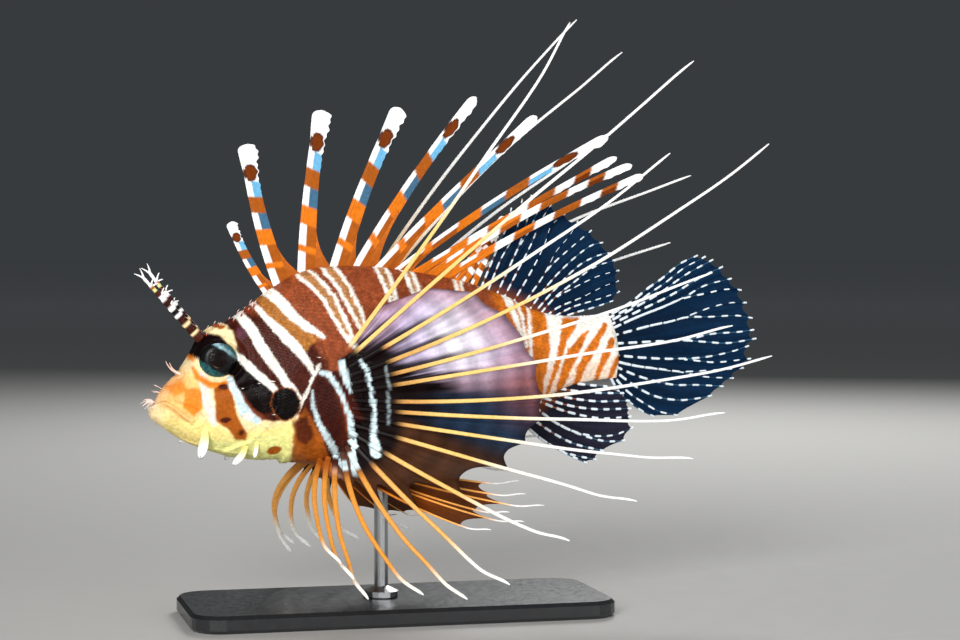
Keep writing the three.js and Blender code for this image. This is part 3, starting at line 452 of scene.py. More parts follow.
class LionfishColours(bpy.types.PropertyGroup):
    """Colours of the fish and its stand."""
    red_brown: colour_property("Red-brown", "Ground colour of the body", (150, 74, 42))
    dark_red_brown: colour_property("Dark red-brown", "Skin behind the gills", (58, 19, 12))
    dark_brown: colour_property("Dark brown", "Bands of the cheek and nape", (72, 28, 18))
    black_brown: colour_property("Black-brown", "Band through the eye and the fin base", (16, 6, 6))
    black: colour_property("Black", "Blotch on the gill cover", (10, 5, 5))
    dark_red: colour_property("Dark red", "Spot behind the brow", (170, 40, 24))
    violet_brown: colour_property("Violet-brown", "Spot on the nape", (92, 50, 62))
    orange: colour_property("Orange", "Back and tail root", (220, 118, 26))
    orange_brown: colour_property("Orange-brown", "Spine bands and cheek band", (166, 86, 24))
    orange_pale: colour_property("Pale orange", "Patches of the snout", (238, 136, 42))
    gold_brown: colour_property("Gold-brown", "Nape between the stripes", (180, 116, 52))
    cream: colour_property("Cream", "Stripes", (255, 251, 238))
    white: colour_property("White", "Spine and ray tips", (250, 250, 248))
    pale_blue: colour_property("Pale blue", "Cool stripes", (206, 226, 230))
    face: colour_property("Face", "Ground colour of the snout", (255, 226, 172))
    blush: colour_property("Blush", "Pinkish white of the lips", (252, 226, 214))
    jaw_yellow: colour_property("Jaw yellow", "Lower jaw", (255, 228, 138))
    throat_green: colour_property("Throat green", "Throat", (230, 234, 150))
    belly: colour_property("Belly", "Underside", (226, 178, 150))
    gold: colour_property("Gold", "Long rays", (246, 204, 122))
    deep_gold: colour_property("Deep gold", "Lower rays", (226, 150, 62))
    web_black: colour_property("Web black", "Web near the root of the side fin", (14, 5, 6))
    web_violet: colour_property("Web violet", "Pale middle of the side fin's web", (190, 174, 208))
    peach: colour_property("Peach", "Flush of the snout", (254, 180, 92))
    spot_brown: colour_property("Spot brown", "Round spots of the dorsal spines", (112, 50, 10))
    web_rose: colour_property("Web rose", "Margin of the side fin's web", (142, 78, 70))
    web_slate: colour_property("Web slate", "Lower part of the side fin's web", (30, 48, 70))
    web_umber: colour_property("Web umber", "Lowest part of the side fin's web", (66, 38, 22))
    pelvic_web: colour_property("Pelvic web", "Web of the pelvic fins", (112, 54, 14))
    deep_blue: colour_property("Deep blue", "Web of the tail and soft dorsal fin", (6, 30, 54))
    plum: colour_property("Plum", "Web of the anal fin", (26, 26, 40))
    sky: colour_property("Sky", "Clear skin of a spine's upper bands", (112, 182, 222))
    steel_blue: colour_property("Steel blue", "Clear skin of a spine's lower bands", (70, 112, 142))
    teal: colour_property("Teal", "Iris", (44, 112, 116))
    # Ice: partly the iris's own pale colour and partly painted highlights of the lamps on the eye.
    ice_glint: colour_property("Ice", "Bright arc of the iris", (206, 240, 252))
    stand_black: colour_property("Stand black", "Base of the stand", (24, 25, 27))
    steel: colour_property("Steel", "Rod of the stand", (186, 188, 190))


class LionfishStage(bpy.types.PropertyGroup):
    """Camera, floor and lights."""
    aim: FloatVectorProperty(
        name="Aim", description="Point that the camera looks at", subtype="TRANSLATION", unit="LENGTH",
        default=(25.38 * MM, 0, 84.53 * MM))
    azimuth: FloatProperty(
        name="Azimuth", description="Turn of the camera round the fish", subtype="ANGLE",
        unit="ROTATION", default=math.radians(-14), min=-math.pi, max=math.pi)
    elevation: FloatProperty(
        name="Elevation", description="Height of the camera as an angle", subtype="ANGLE",
        unit="ROTATION", default=math.radians(2))
    distance: length_property("Distance", "From the camera to the point that it looks at", 670)
    lens: FloatProperty(name="Lens", description="Focal length in millimetres", default=86.6, min=1)
    floor_size: length_property("Floor size", "Radius of the floor", 12000)
    floor: colour_property("Floor", "Floor under the stand", (186, 185, 182))
    far_floor: colour_property("Far floor", "Floor far from the stand", (250, 250, 250))
    background: colour_property("Background", "Light all round and the background", (56, 59, 62))
    brightness: FloatProperty(name="Brightness", description="Strength of all lamps", default=1, min=0)


class LionfishSettings(bpy.types.PropertyGroup):
    """All sizes and colours of the display model."""
    body: PointerProperty(type=LionfishBody)
    coat: PointerProperty(type=LionfishCoat)
    eye: PointerProperty(type=LionfishEye)
    fins: PointerProperty(type=LionfishFins)
    colours: PointerProperty(type=LionfishColours)
    stage: PointerProperty(type=LionfishStage)


def settings():
    return bpy.context.scene.lionfish


def linear(value):
    """Red, green and blue as a screen takes them, turned into linear light."""
    value = np.array(value[:])
    return np.where(value <= 0.04045, value / 12.92, ((value + 0.055) / 1.055) ** 2.4)


def colour(name, clear=1.0):
    """A named colour as linear red, green and blue, with how opaque it is."""
    return np.append(linear(getattr(settings().colours, name)), clear)


def stage_colour(name):
    return [*linear(getattr(settings().stage, name)), 1]


def place(points):
    """Millimetres in the fish's frame as metres in the row frame."""
    body = settings().body
    points = np.asarray(points, float) * MM
    cos, sin = math.cos(body.nose_down), math.sin(body.nose_down)
    x, y, z = points[..., 0], points[..., 1], points[..., 2]
    turned = np.stack([x * cos - z * sin, y, x * sin + z * cos], axis=-1)
    return turned + np.array(body.snout[:])


def ease(low, high, value):
    """A smooth step from 0 at low to 1 at high."""
    share = np.clip((np.asarray(value, float) - low) / (high - low), 0, 1)
    return share * share * (3 - 2 * share)


def mix(first, second, share):
    """The first colour changed towards the second by a share."""
    share = np.asarray(share, float)[..., None]
    return first + (second - first) * share


def unit(vectors):
    return vectors / np.maximum(np.linalg.norm(vectors, axis=-1, keepdims=True), 1e-12)


def list_at(values, share):
    """The value of an evenly spaced list at a share of its length."""
    return np.interp(share, np.linspace(0, 1, len(values)), values)


class SpaceNoise:
    """Smooth values from -1 to 1 through space, the same on each run."""

    side = 32

    def __init__(self, seed):
        self.values = np.random.default_rng(seed).uniform(-1, 1, (self.side,) * 3)

    def at(self, points, size):
        scaled = np.asarray(points, float) / size
        low = np.floor(scaled).astype(int)
        part = scaled - low
        part = part * part * (3 - 2 * part)
        total = np.zeros(scaled.shape[:-1])
        for corner in np.ndindex(2, 2, 2):
            weight = np.prod(np.where(corner, part, 1 - part), axis=-1)
            cell = (low + np.array(corner)) % self.side
            total += weight * self.values[cell[..., 0], cell[..., 1], cell[..., 2]]
        return total


WOBBLE = SpaceNoise(11)
GRAIN = SpaceNoise(23)
STREAK = SpaceNoise(37)


def running_length(points):
    """The length along a path at each of its points."""
    return np.concatenate([[0], np.cumsum(np.linalg.norm(np.diff(points, axis=0), axis=1))])


def smooth_curve(places, count):
    """Even steps along a smooth curve through the places."""
    places = np.array(places, float)
    ends = np.concatenate([[2 * places[0] - places[1]], places, [2 * places[-1] - places[-2]]])
    gaps = np.sqrt(np.linalg.norm(np.diff(ends, axis=0), axis=1))
    t = np.linspace(0, 1, 40, endpoint=False)[:, None]
    dense = []
    for k in range(len(places) - 1):
        a, b, c, d = ends[k:k + 4]
        before, here, after = gaps[k:k + 3]
        leave = ((b - a) / before - (c - a) / (before + here) + (c - b) / here) * here
        arrive = ((c - b) / here - (d - b) / (here + after) + (d - c) / after) * here
        dense.append(b * (2 * t**3 - 3 * t**2 + 1) + leave * (t**3 - 2 * t**2 + t)
                     + c * (3 * t**2 - 2 * t**3) + arrive * (t**3 - t**2))
    dense = np.concatenate([*dense, places[-1:]])
    run = running_length(dense)
    steps = np.linspace(0, run[-1], count)
    return np.stack([np.interp(steps, run, dense[:, k]) for k in range(dense.shape[1])], axis=-1)


def distance_to_line(x, z, line, closed=False):
    """Distance from points to a bent line, less the line's half width there if its points give one."""
    corners = np.array(line, float)
    if closed:
        corners = np.concatenate([corners, corners[:1]])
    nearest = np.full(np.shape(x), np.inf)
    for start, end in zip(corners[:-1], corners[1:]):
        dx, dz = end[:2] - start[:2]
        t = np.clip(((x - start[0]) * dx + (z - start[1]) * dz) / (dx * dx + dz * dz), 0, 1)
        far = np.hypot(x - start[0] - t * dx, z - start[1] - t * dz)
        if len(start) > 2:
            far = far - (start[2] + (end[2] - start[2]) * t)
        nearest = np.minimum(nearest, far)
    return nearest


def inside(x, z, outline):
    """Which points lie inside a closed outline."""
    found = np.zeros(np.shape(x), bool)
    corners = list(outline)
    for (x0, z0), (x1, z1) in zip(corners, corners[1:] + corners[:1]):
        if z0 != z1:
            crosses = (z0 > z) != (z1 > z)
            found ^= crosses & (x < (x1 - x0) * (z - z0) / (z1 - z0) + x0)
    return found


def depth_inside(x, z, outline):
    """Distance from an outline, above zero inside it."""
    far = distance_to_line(x, z, outline, closed=True)
    return np.where(inside(x, z, outline), far, -far)


def signed_distance(x, z, line):
    """Distance from an open line, above zero on the left of its way."""
    nearest = np.full(np.shape(x), np.inf)
    side = np.zeros(np.shape(x))
    for (x0, z0), (x1, z1) in zip(line[:-1], line[1:]):
        dx, dz = x1 - x0, z1 - z0
        t = np.clip(((x - x0) * dx + (z - z0) * dz) / (dx * dx + dz * dz), 0, 1)
        far = np.hypot(x - x0 - t * dx, z - z0 - t * dz)
        turn = np.sign(dx * (z - z0) - dz * (x - x0))
        side = np.where(far < nearest, turn, side)
        nearest = np.minimum(nearest, far)
    return nearest * side


def grid_faces(rows, columns, wrap=False):
    """Faces of a grid of points. With wrap the last column joins the first."""
    index = np.arange(rows * columns).reshape(rows, columns)
    if wrap:
        index = np.concatenate([index, index[:, :1]], axis=1)
    corners = [index[:-1, :-1], index[1:, :-1], index[1:, 1:], index[:-1, 1:]]
    return np.stack(corners, axis=-1).reshape(-1, 4)


def capped_faces(rows, columns):
    """Faces of rings of points, closed by one point at each end that follow the rings."""
    ring = np.arange(columns)
    after = (ring + 1) % columns
    first, last = rows * columns, (rows - 1) * columns
    return np.concatenate([
        grid_faces(rows, columns, wrap=True),
        np.stack([np.full(columns, first), ring, after, after], axis=-1),
        np.stack([np.full(columns, first + 1), last + after, last + ring, last + ring], axis=-1),
    ])


def rim_of(index):
    """The point numbers round the border of a grid of point numbers."""
    return np.concatenate([index[0], index[1:, -1], index[-1, -2::-1], index[-2:0:-1, 0]])


class Shape:
    """Closed parts of a piece with their colours. A triangle is a face whose last corner is given twice."""

    def __init__(self):
        self.points, self.colours, self.faces, self.uvs, self.smooth = [], [], [], [], []
        self.count = 0

    def add(self, points, faces, colours, uvs=None, smooth=True):
        points = np.asarray(points, float).reshape(-1, 3)
        colours = np.asarray(colours, float).reshape(-1, 4)
        if len(colours) == 1:
            colours = np.repeat(colours, len(points), axis=0)
        faces = np.asarray(faces).reshape(-1, 4)
        a, b, c, d = (points[faces[:, k]] for k in range(4))
        volume = np.einsum("ij,ij->", a, np.cross(b, c)) + np.einsum("ij,ij->", a, np.cross(c, d))
        if volume < 0:
            triangle = faces[:, 2] == faces[:, 3]
            turned = faces[:, [3, 2, 1, 0]]
            turned[triangle] = faces[triangle][:, [1, 0, 2, 2]]
            faces = turned
        self.points.append(points)
        self.colours.append(colours)
        self.faces.append(faces + self.count)
        self.smooth.append(np.broadcast_to(smooth, len(faces)))
        if uvs is not None:
            self.uvs.append(uvs)
        self.count += len(points)

    def rod(self, path, half, crest, colours, outward, sides=12, groove=0.0):
        """A rod along a path: half is its half width across, crest its half height along outward."""
        path = np.asarray(path, float)
        along = unit(np.gradient(path, axis=0))
        across = unit(np.cross(along, outward))
        out = np.cross(across, along)
        turn = np.linspace(0, 2 * math.pi, sides, endpoint=False)
        dent = 1 - groove * np.exp(-((np.abs(np.sin(turn)) - 1) / 0.12) ** 2)
        half = np.broadcast_to(half, len(path))[:, None, None]
        crest = np.broadcast_to(crest, len(path))[:, None, None]
        rings = (path[:, None] + across[:, None] * half * np.cos(turn)[None, :, None]
                 + out[:, None] * crest * (np.sin(turn) * dent)[None, :, None])
        caps = np.array([path[0] - along[0] * crest[0, 0, 0] * 0.6, path[-1] + along[-1] * crest[-1, 0, 0]])
        colours = np.asarray(colours, float)
        if colours.ndim == 1:
            colours = np.broadcast_to(colours, (len(path), 4))
        if colours.ndim == 2:
            colours = np.repeat(colours[:, None], sides, axis=1)
        all_colours = np.concatenate([colours.reshape(-1, 4), colours[0, :1], colours[-1, :1]])
        self.add(np.concatenate([rings.reshape(-1, 3), caps]), capped_faces(len(path), sides), all_colours)

    def thorn(self, path, share, half, crest, colours, side, sides=8):
        """A rod that tapers. Half and crest each give the size at the root and the part lost at the tip."""
        half = half[0] * (1 - half[1] * share)
        crest = crest[0] * (1 - crest[1] * share)
        self.rod(path, half, crest, colours, (0, side, 0), sides=sides)

    def sheet(self, middle, half, colours):
        """A thin closed sheet round a grid of points."""
        rows, columns = middle.shape[:2]
        normal = unit(np.cross(np.gradient(middle, axis=0), np.gradient(middle, axis=1)))
        half = np.broadcast_to(half, (rows, columns))[..., None]
        front = grid_faces(rows, columns)
        index = np.arange(rows * columns).reshape(rows, columns)
        rim = rim_of(index)
        after = np.roll(rim, -1)
        count = rows * columns
        sides = np.stack([rim, after, after + count, rim + count], axis=-1)
        points = np.concatenate([
            (middle + normal * half).reshape(-1, 3), (middle - normal * half).reshape(-1, 3)])
        both = np.concatenate([colours.reshape(-1, 4)] * 2)
        self.add(points, np.concatenate([front[:, ::-1], front + count, sides]), both)

    def make(self, name, material, slot):
        """The piece, with its colours and its flat map if it has one."""
        points = place(np.concatenate(self.points))
        faces = np.concatenate(self.faces)
        kept = np.ones(faces.shape, bool)
        kept[faces[:, 2] == faces[:, 3], 3] = False
        corners = faces[kept]
        mesh = bpy.data.meshes.new(name)
        mesh.vertices.add(len(points))
        mesh.vertices.foreach_set("co", points.astype(np.float32).ravel())
        mesh.loops.add(len(corners))
        mesh.loops.foreach_set("vertex_index", corners.astype(np.int32))
        mesh.polygons.add(len(faces))
        starts = np.concatenate([[0], np.cumsum(kept.sum(axis=1))[:-1]])
        mesh.polygons.foreach_set("loop_start", starts.astype(np.int32))
        mesh.update(calc_edges=True)
        if mesh.validate():
            raise RuntimeError(f"{name} has a face that the mesh can't hold")
        mesh.polygons.foreach_set("use_smooth", np.concatenate(self.smooth))
        layer = mesh.color_attributes.new(name=COLOUR, type="FLOAT_COLOR", domain="POINT")
        layer.data.foreach_set("color", np.concatenate(self.colours).astype(np.float32).ravel())
        if self.uvs:
            uvs = np.concatenate(self.uvs).reshape(-1, 4, 2)[kept]
            mesh.uv_layers.new(name=BAKE_MAP).data.foreach_set("uv", uvs.astype(np.float32).ravel())
        mesh.materials.append(material)
        piece = bpy.data.objects.new(name, mesh)
        bpy.context.scene.collection.objects.link(piece)
        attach(piece, BODY)
        return piece


def station(column, x):
    """A column of the body's sections at x, along a smooth curve."""
    xs, values = BODY_STATIONS[:, 0], BODY_STATIONS[:, column]
    slopes = np.empty_like(values)
    slopes[1:-1] = (values[2:] - values[:-2]) / (xs[2:] - xs[:-2])
    slopes[0] = (values[1] - values[0]) / (xs[1] - xs[0])
    slopes[-1] = (values[-1] - values[-2]) / (xs[-1] - xs[-2])
    x = np.clip(x, xs[0], xs[-1])
    k = np.clip(np.searchsorted(xs, x, side="right") - 1, 0, len(xs) - 2)
    width = xs[k + 1] - xs[k]
    t = (x - xs[k]) / width
    rise = values[k + 1] - values[k]
    bend = (slopes[k] * width - rise) * (1 - t) + (rise - slopes[k + 1] * width) * t
    return values[k] + rise * t + t * (1 - t) * bend


def body_point(x, turn, grow=0.0):
    """A point of the body's surface. The turn round the body starts at the back, towards the left side."""
    side, rise = np.sin(turn), np.cos(turn)
    widest = station(WIDEST, x)
    above = rise >= 0
    full = np.where(above, station(FULL_ABOVE, x), station(FULL_BELOW, x))
    height = np.where(above, station(BACK, x) - widest, widest - station(BELLY, x))
    y = -np.sign(side) * (station(HALF, x) + grow) * np.abs(side) ** (2 / full)
    z = widest + np.sign(rise) * (height + grow) * np.abs(rise) ** (2 / full)
    out = unit(np.stack([np.zeros_like(y), y, z - widest], axis=-1))
    swell = np.zeros_like(y)
    for sx, sy, sz, wide, deep, high, lift in HEAD_SWELLS:
        swell = swell + lift * np.exp(-((x - sx) / wide) ** 2 - ((np.abs(y) - sy) / deep) ** 2
                                      - ((z - sz) / high) ** 2)
    return np.stack([x + np.zeros_like(y), y, z], axis=-1) + out * swell[..., None]


def relief(points):
    """How far fine features of the skin stand out from the body's smooth surface."""
    x, side, z = points[..., 0], np.abs(points[..., 1]), points[..., 2]
    lift = np.zeros_like(x)
    gape = distance_to_line(x, z, GAPE)
    lift -= 0.75 * np.exp(-(gape / 0.42) ** 2)
    lift += 0.38 * np.exp(-((gape - 1.25) / 0.7) ** 2) * ease(12, 8, x)
    jaw_bone = depth_inside(x, z, UPPER_JAW_BONE)
    lift += 0.42 * ease(-0.35, 0.5, jaw_bone)
    lift -= 0.25 * np.exp(-((jaw_bone + 0.7) / 0.45) ** 2) * ease(4, 7, x)
    flank = ease(2, 5, side)
    cover = signed_distance(x, z, GILL_EDGE)
    edge = ease(25, 19, z)
    lift += edge * 0.55 * ease(6, 0.4, -cover) * ease(0.1, -0.3, cover)
    lift -= edge * 0.55 * ease(3.0, 0.2, cover) * ease(-0.3, 0.2, cover)
    cheek = signed_distance(x, z, CHEEK_EDGE)
    lift += flank * 0.28 * ease(2.6, 0.2, -cheek) * ease(0.1, -0.3, cheek)
    lift -= flank * 0.22 * ease(1.6, 0.1, cheek) * ease(-0.3, 0.2, cheek)
    ridge = distance_to_line(x, z, CHEEK_RIDGE)
    lift += flank * (0.38 + 0.16 * np.cos(x * 2.4)) * np.exp(-(ridge / 0.7) ** 2)
    pad = depth_inside(x, z, FIN_PAD)
    lift += 0.9 * ease(-3.0, 2.5, pad)
    lift -= 0.12 * np.exp(-(distance_to_line(x, z, SIDE_LINE) / 0.35) ** 2)
    lift -= 0.3 * np.exp(-((side - 2.4 - 0.12 * x) / 0.5) ** 2) * ease(-7, -10, z) * ease(30, 20, x)
    nostril = np.hypot(x - 8.9, z - 9.6)
    lift += 0.4 * np.exp(-((nostril - 0.9) / 0.4) ** 2) - 0.5 * np.exp(-(nostril / 0.5) ** 2)
    folds = np.sin(cover * 3.1) * ease(9, 2, np.abs(cover)) * ease(-8, -14, z) * ease(44, 34, x)
    lift += 0.09 * folds
    lift += 0.10 * WOBBLE.at(points, 2.6) * ease(40, 25, x)
    lift += 0.05 * GRAIN.at(points, 0.9)
    return lift


def open_for_eyes(points):
    """Sinks the skin under the eyeballs and rolls a lid round each opening."""
    eye = settings().eye
    cx, cy, cz = (part / MM for part in eye.centre)
    radius, bulge, opening = eye.radius / MM, eye.bulge / MM, eye.opening / MM
    true_far = np.hypot(points[..., 0] - cx, points[..., 2] - cz)
    far = np.hypot(points[..., 0] - cx, (points[..., 2] - cz) / eye.opening_height)
    side = np.sign(points[..., 1])
    reach = np.abs(points[..., 1])
    ball = cy + bulge * np.sqrt(np.clip(1 - (np.minimum(true_far, radius * 0.985) / radius) ** 2, 0, 1))
    lid = (0.55 * np.exp(-((far - opening - 1.0) / 0.75) ** 2)
           - 0.3 * np.exp(-((far - opening - 2.6) / 0.8) ** 2))
    sunk = ball - 0.9 * ease(opening, opening - 0.7, far) + 0.12
    share = ease(opening + 0.9, opening - 0.1, far) * (reach > 3)
    outer = reach + lid * (reach > 3)
    over = ball + 0.35 * ease(opening - 0.2, opening + 0.5, far)
    outer = np.where((reach > 3) & (true_far < radius), np.maximum(outer, over), outer)
    moved = points.copy()
    moved[..., 1] = side * (outer * (1 - share) + sunk * share)
    return moved


def thin_tail(points, length):
    """Thins the end of the body to a rounded edge between the roots of the tail fin's rays."""
    past = np.clip((points[..., 0] - length + 6) / 6.4, 0, 0.995)
    thinned = points.copy()
    thinned[..., 1] *= np.sqrt(1 - past**2)
    thinned[..., 0] += ease(0, 1, past) * (0.8 - 1.6 * (points[..., 2] / 9) ** 2)
    return thinned


class SkinSheet:
    """The skin as rings of points from the snout to the tail, each starting and ending at the belly."""

    def __init__(self):
        body = settings().body
        length = body.length / MM
        head = np.linspace(0.02, GILLS_X, body.head_rings, endpoint=False)
        trunk = np.linspace(GILLS_X, length + 0.5, body.trunk_rings)
        self.x = np.concatenate([head, trunk])
        self.columns = body.columns + 1
        dense = np.linspace(-math.pi, math.pi, 721)
        turns = []
        self.round = []
        for x in self.x:
            ring = body_point(np.full(dense.shape, x), dense)
            run = running_length(ring)
            turns.append(np.interp(np.linspace(0, run[-1], self.columns), run, dense))
            self.round.append(run[-1])
        self.round = np.array(self.round)
        grow = -settings().coat.depth / MM
        base = body_point(self.x[:, None] + np.zeros(self.columns), np.array(turns), grow)
        normal = self.normals(base)
        base = base + normal * relief(base)[..., None]
        base = open_for_eyes(base)
        base = thin_tail(base, length)
        base[:, -1] = base[:, 0]
        self.points = base
        self.normal = self.normals(base)

    @staticmethod
    def normals(points):
        """Unit vectors out of the skin."""
        along = np.gradient(points, axis=0)
        before = np.concatenate([points[:, -2:-1], points[:, :-1]], axis=1)
        after = np.concatenate([points[:, 1:], points[:, 1:2]], axis=1)
        return unit(np.cross(along, after - before))

    def at(self, x, column, field):
        """A field of the sheet between its points, at x and at a place counted in columns."""
        ring = np.interp(x, self.x, np.arange(len(self.x)))
        i = np.clip(ring.astype(int), 0, len(self.x) - 2)
        j = np.clip(column.astype(int), 0, self.columns - 2)
        s, t = (ring - i)[:, None], (column - j)[:, None]
        low = field[i, j] * (1 - t) + field[i, j + 1] * t
        high = field[i + 1, j] * (1 - t) + field[i + 1, j + 1] * t
        return low * (1 - s) + high * s

    def unwrap(self, x, column):
        """A flat map of the skin cut open along the belly: length along, girth across."""
        girth = np.interp(x, self.x, self.round)
        share = column / (self.columns - 1) - 0.5
        along = 0.02 + 0.96 * x / self.x[-1]
        across = 0.5 + 0.96 * share * girth / self.round.max()
        return np.stack([along, across], axis=-1)


def markings(points):
    """The painted pattern at points in the fish's frame, alike on both sides."""
    x, y, z = points[..., 0], points[..., 1], points[..., 2]
    mirrored = np.stack([x, np.abs(y), z], axis=-1)
    shift_x = 0.28 * WOBBLE.at(mirrored, 2.1) + 0.13 * WOBBLE.at(mirrored + 50, 0.8)
    shift_z = 0.28 * WOBBLE.at(mirrored + 20, 2.3) + 0.13 * WOBBLE.at(mirrored + 70, 0.8)
    u, v = x + shift_x, z + shift_z
    painted = np.broadcast_to(colour("red_brown"), (*x.shape, 4)).copy()
    level = (z - station(BELLY, x)) / (station(BACK, x) - station(BELLY, x))
    painted = mix(painted, colour("belly"), 0.85 * ease(0.16, 0.03, level) * ease(34, 44, x))
    for mark in MARKS:
        paint = colour(mark.colour)
        if isinstance(mark, Patch):
            amount = ease(-mark.blur / 2, mark.blur / 2, depth_inside(u, v, mark.outline)) * mark.strength
        elif isinstance(mark, Stripe):
            far = distance_to_line(u, v, mark.line)
            amount = ease(mark.blur / 2, -mark.blur / 2, far) * mark.strength
            if mark.core:
                core = ease(-mark.border + 0.2, -mark.border - 0.3, far + 0.25 * GRAIN.at(mirrored, 0.9))
                paint = mix(paint, colour(mark.core), 0.95 * core)
        else:
            far = np.hypot((u - mark.x) / mark.long, (v - mark.z) / mark.high)
            amount = ease(1 + mark.blur / 2 / mark.long, 1 - mark.blur / 2 / mark.long, far)
        painted = mix(painted, paint, amount)
    blotch = 0.5 + 0.5 * WOBBLE.at(mirrored + 9, 3.4)
    rough = 1 + 0.9 * ease(26, 44, x)
    fine = 1 + rough * (0.16 * GRAIN.at(mirrored, 0.6) + 0.14 * (blotch - 0.5))
    painted[..., :3] *= fine[..., None]
    painted[..., 3] = 1
    return np.clip(painted, 0, 1)


class Nodes:
    """Builds one material's nodes."""

    def __init__(self, name):
        self.material = bpy.data.materials.new(name)
        self.material.use_nodes = True
        self.tree = self.material.node_tree
        self.shader = self.tree.nodes["Principled BSDF"]
        self.output = self.tree.nodes["Material Output"]
        self.coordinates = self.add("ShaderNodeTexCoord").outputs["Object"]

    def add(self, kind, **values):
        node = self.tree.nodes.new(kind)
        for key, value in values.items():
            setattr(node, key, value)
        return node

    def join(self, source, target):
        self.tree.links.new(source, target)

    def noise(self, size, detail=3.0, stretch=(1, 1, 1)):
        """Noise whose features are about size metres across."""
        mapping = self.add("ShaderNodeMapping")
        mapping.inputs["Scale"].default_value = [part / size for part in stretch]
        self.join(self.coordinates, mapping.inputs["Vector"])
        node = self.add("ShaderNodeTexNoise")
        node.inputs["Scale"].default_value = 1
        node.inputs["Detail"].default_value = detail
        self.join(mapping.outputs["Vector"], node.inputs["Vector"])
        return node.outputs["Fac"]

    def cells(self, size):
        """Rounded cells that are about size metres across."""
        node = self.add("ShaderNodeTexVoronoi")
        node.inputs["Scale"].default_value = 1 / size
        self.join(self.coordinates, node.inputs["Vector"])
        return node.outputs["Distance"]

    def spread(self, value, low, high):
        """A value from 0 to 1 set to the range from low to high."""
        node = self.add("ShaderNodeMapRange")
        node.inputs["From Min"].default_value = 0.25
        node.inputs["From Max"].default_value = 0.75
        node.inputs["To Min"].default_value = low
        node.inputs["To Max"].default_value = high
        self.join(value, node.inputs["Value"])
        return node.outputs["Result"]

    def blend(self, first, second, share):
        """The base colour, from first to second by a share."""
        node = self.add("ShaderNodeMix", data_type="RGBA")
        node.inputs["A"].default_value = first
        node.inputs["B"].default_value = second
        self.join(share, node.inputs["Factor"])
        self.join(node.outputs["Result"], self.shader.inputs["Base Color"])

    def shaded(self, source, value):
        """A colour made lighter or darker by a value around 1."""
        node = self.add("ShaderNodeVectorMath", operation="SCALE")
        self.join(source, node.inputs[0])
        self.join(value, node.inputs["Scale"])
        return node.outputs["Vector"]

    def bump(self, heights, distance):
        """Bumps from heights of 0 to 1, each with its strength, as a normal."""
        total = None
        for height, strength in heights:
            node = self.add("ShaderNodeBump")
            node.inputs["Strength"].default_value = strength
            node.inputs["Distance"].default_value = distance
            self.join(height, node.inputs["Height"])
            if total is not None:
                self.join(total, node.inputs["Normal"])
            total = node.outputs["Normal"]
        self.join(total, self.shader.inputs["Normal"])

    def set(self, **values):
        for key, value in values.items():
            self.shader.inputs[key.replace("_", " ").title().replace("Ior", "IOR")].default_value = value
        return self


def painted_material(name, grain, shine, coat, bumps, clear=False):
    """Paint from the colour attribute, with fine shading, changing gloss and bumps of the given sizes."""
    nodes = Nodes(name)
    attribute = nodes.add("ShaderNodeAttribute", attribute_name=COLOUR)
    shade = nodes.spread(nodes.noise(grain), 0.86, 1.12)
    nodes.join(nodes.shaded(attribute.outputs["Color"], shade), nodes.shader.inputs["Base Color"])
    nodes.join(nodes.spread(nodes.noise(grain * 2.7), *shine), nodes.shader.inputs["Roughness"])
    heights = [(nodes.noise(size), strength) for size, strength in bumps[:-1]]
    heights.append((nodes.cells(bumps[-1][0]), bumps[-1][1]))
    nodes.bump(heights, 0.0002)
    nodes.set(coat_weight=coat, coat_roughness=0.22, specular_ior_level=0.25 * coat + 0.04)
    if clear:
        nodes.join(attribute.outputs["Alpha"], nodes.shader.inputs["Alpha"])
    return nodes.material


def skin_material():
    return painted_material(
        "Skin", 0.0009, (0.44, 0.6), 0.03, ((0.0012, 0.35), (0.0004, 0.3), (0.0007, 0.35)))


def scale_material():
    return painted_material(
        "Scales", 0.0007, (0.38, 0.56), 0.08, ((0.0008, 0.2), (0.0003, 0.25), (0.0004, 0.15)))


def ray_material():
    return painted_material(
        "Rays", 0.0008, (0.36, 0.54), 0.1, ((0.0006, 0.3), (0.0002, 0.2), (0.0005, 0.1)))


def web_material(name):
    return painted_material(
        name, 0.0012, (0.42, 0.6), 0.0, ((0.0016, 0.3), (0.0005, 0.25), (0.0006, 0.1)), clear=True)


def build_skin():
    sheet = SkinSheet()
    points = sheet.points[:, :-1]
    rows, columns = points.shape[:2]
    nose = points[0].mean(axis=0) + (-0.5, 0, 0)
    tail = points[-1].mean(axis=0) + (0.3, 0, 0)
    every = np.concatenate([points.reshape(-1, 3), [nose, tail]])
    place_x = sheet.x[:, None] + np.zeros(columns + 1)
    flat = sheet.unwrap(place_x, np.arange(columns + 1) + np.zeros((rows, 1)))
    quads = np.stack([flat[:-1, :-1], flat[1:, :-1], flat[1:, 1:], flat[:-1, 1:]], axis=-2).reshape(-1, 4, 2)
    nose_uv = np.array([0.008, 0.5])
    tail_uv = np.array([0.992, 0.5])
    ends = [np.stack([np.broadcast_to(middle, (columns, 2)), low, high, high], axis=1)
            for middle, low, high in (
                (nose_uv, flat[0, :-1], flat[0, 1:]), (tail_uv, flat[-1, 1:], flat[-1, :-1]))]
    shape = Shape()
    shape.add(every, capped_faces(rows, columns), markings(every), np.concatenate([quads, *ends]))
    skin = shape.make("skin", skin_material(), "skin")
    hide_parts("head", "lower_jaw", "gill_cover_left", "gill_cover_right", "trunk", "tail_root")


# One scale's rows from its root to its free edge: how far along, half width and height
SCALE_ROWS = ((0.0, 0.30, 0.0), (0.34, 0.86, 0.55), (0.7, 1.0, 0.85), (0.93, 0.72, 0.98))
SCALE_COLUMNS = (-1.0, -0.5, 0.0, 0.5, 1.0)
# Distance between the scales of a row: x, distance
SCALE_STEPS = ((26, 0.72), (45, 1.05), (60, 1.3), (90, 1.25), (115, 1.08), (137.4, 0.9))
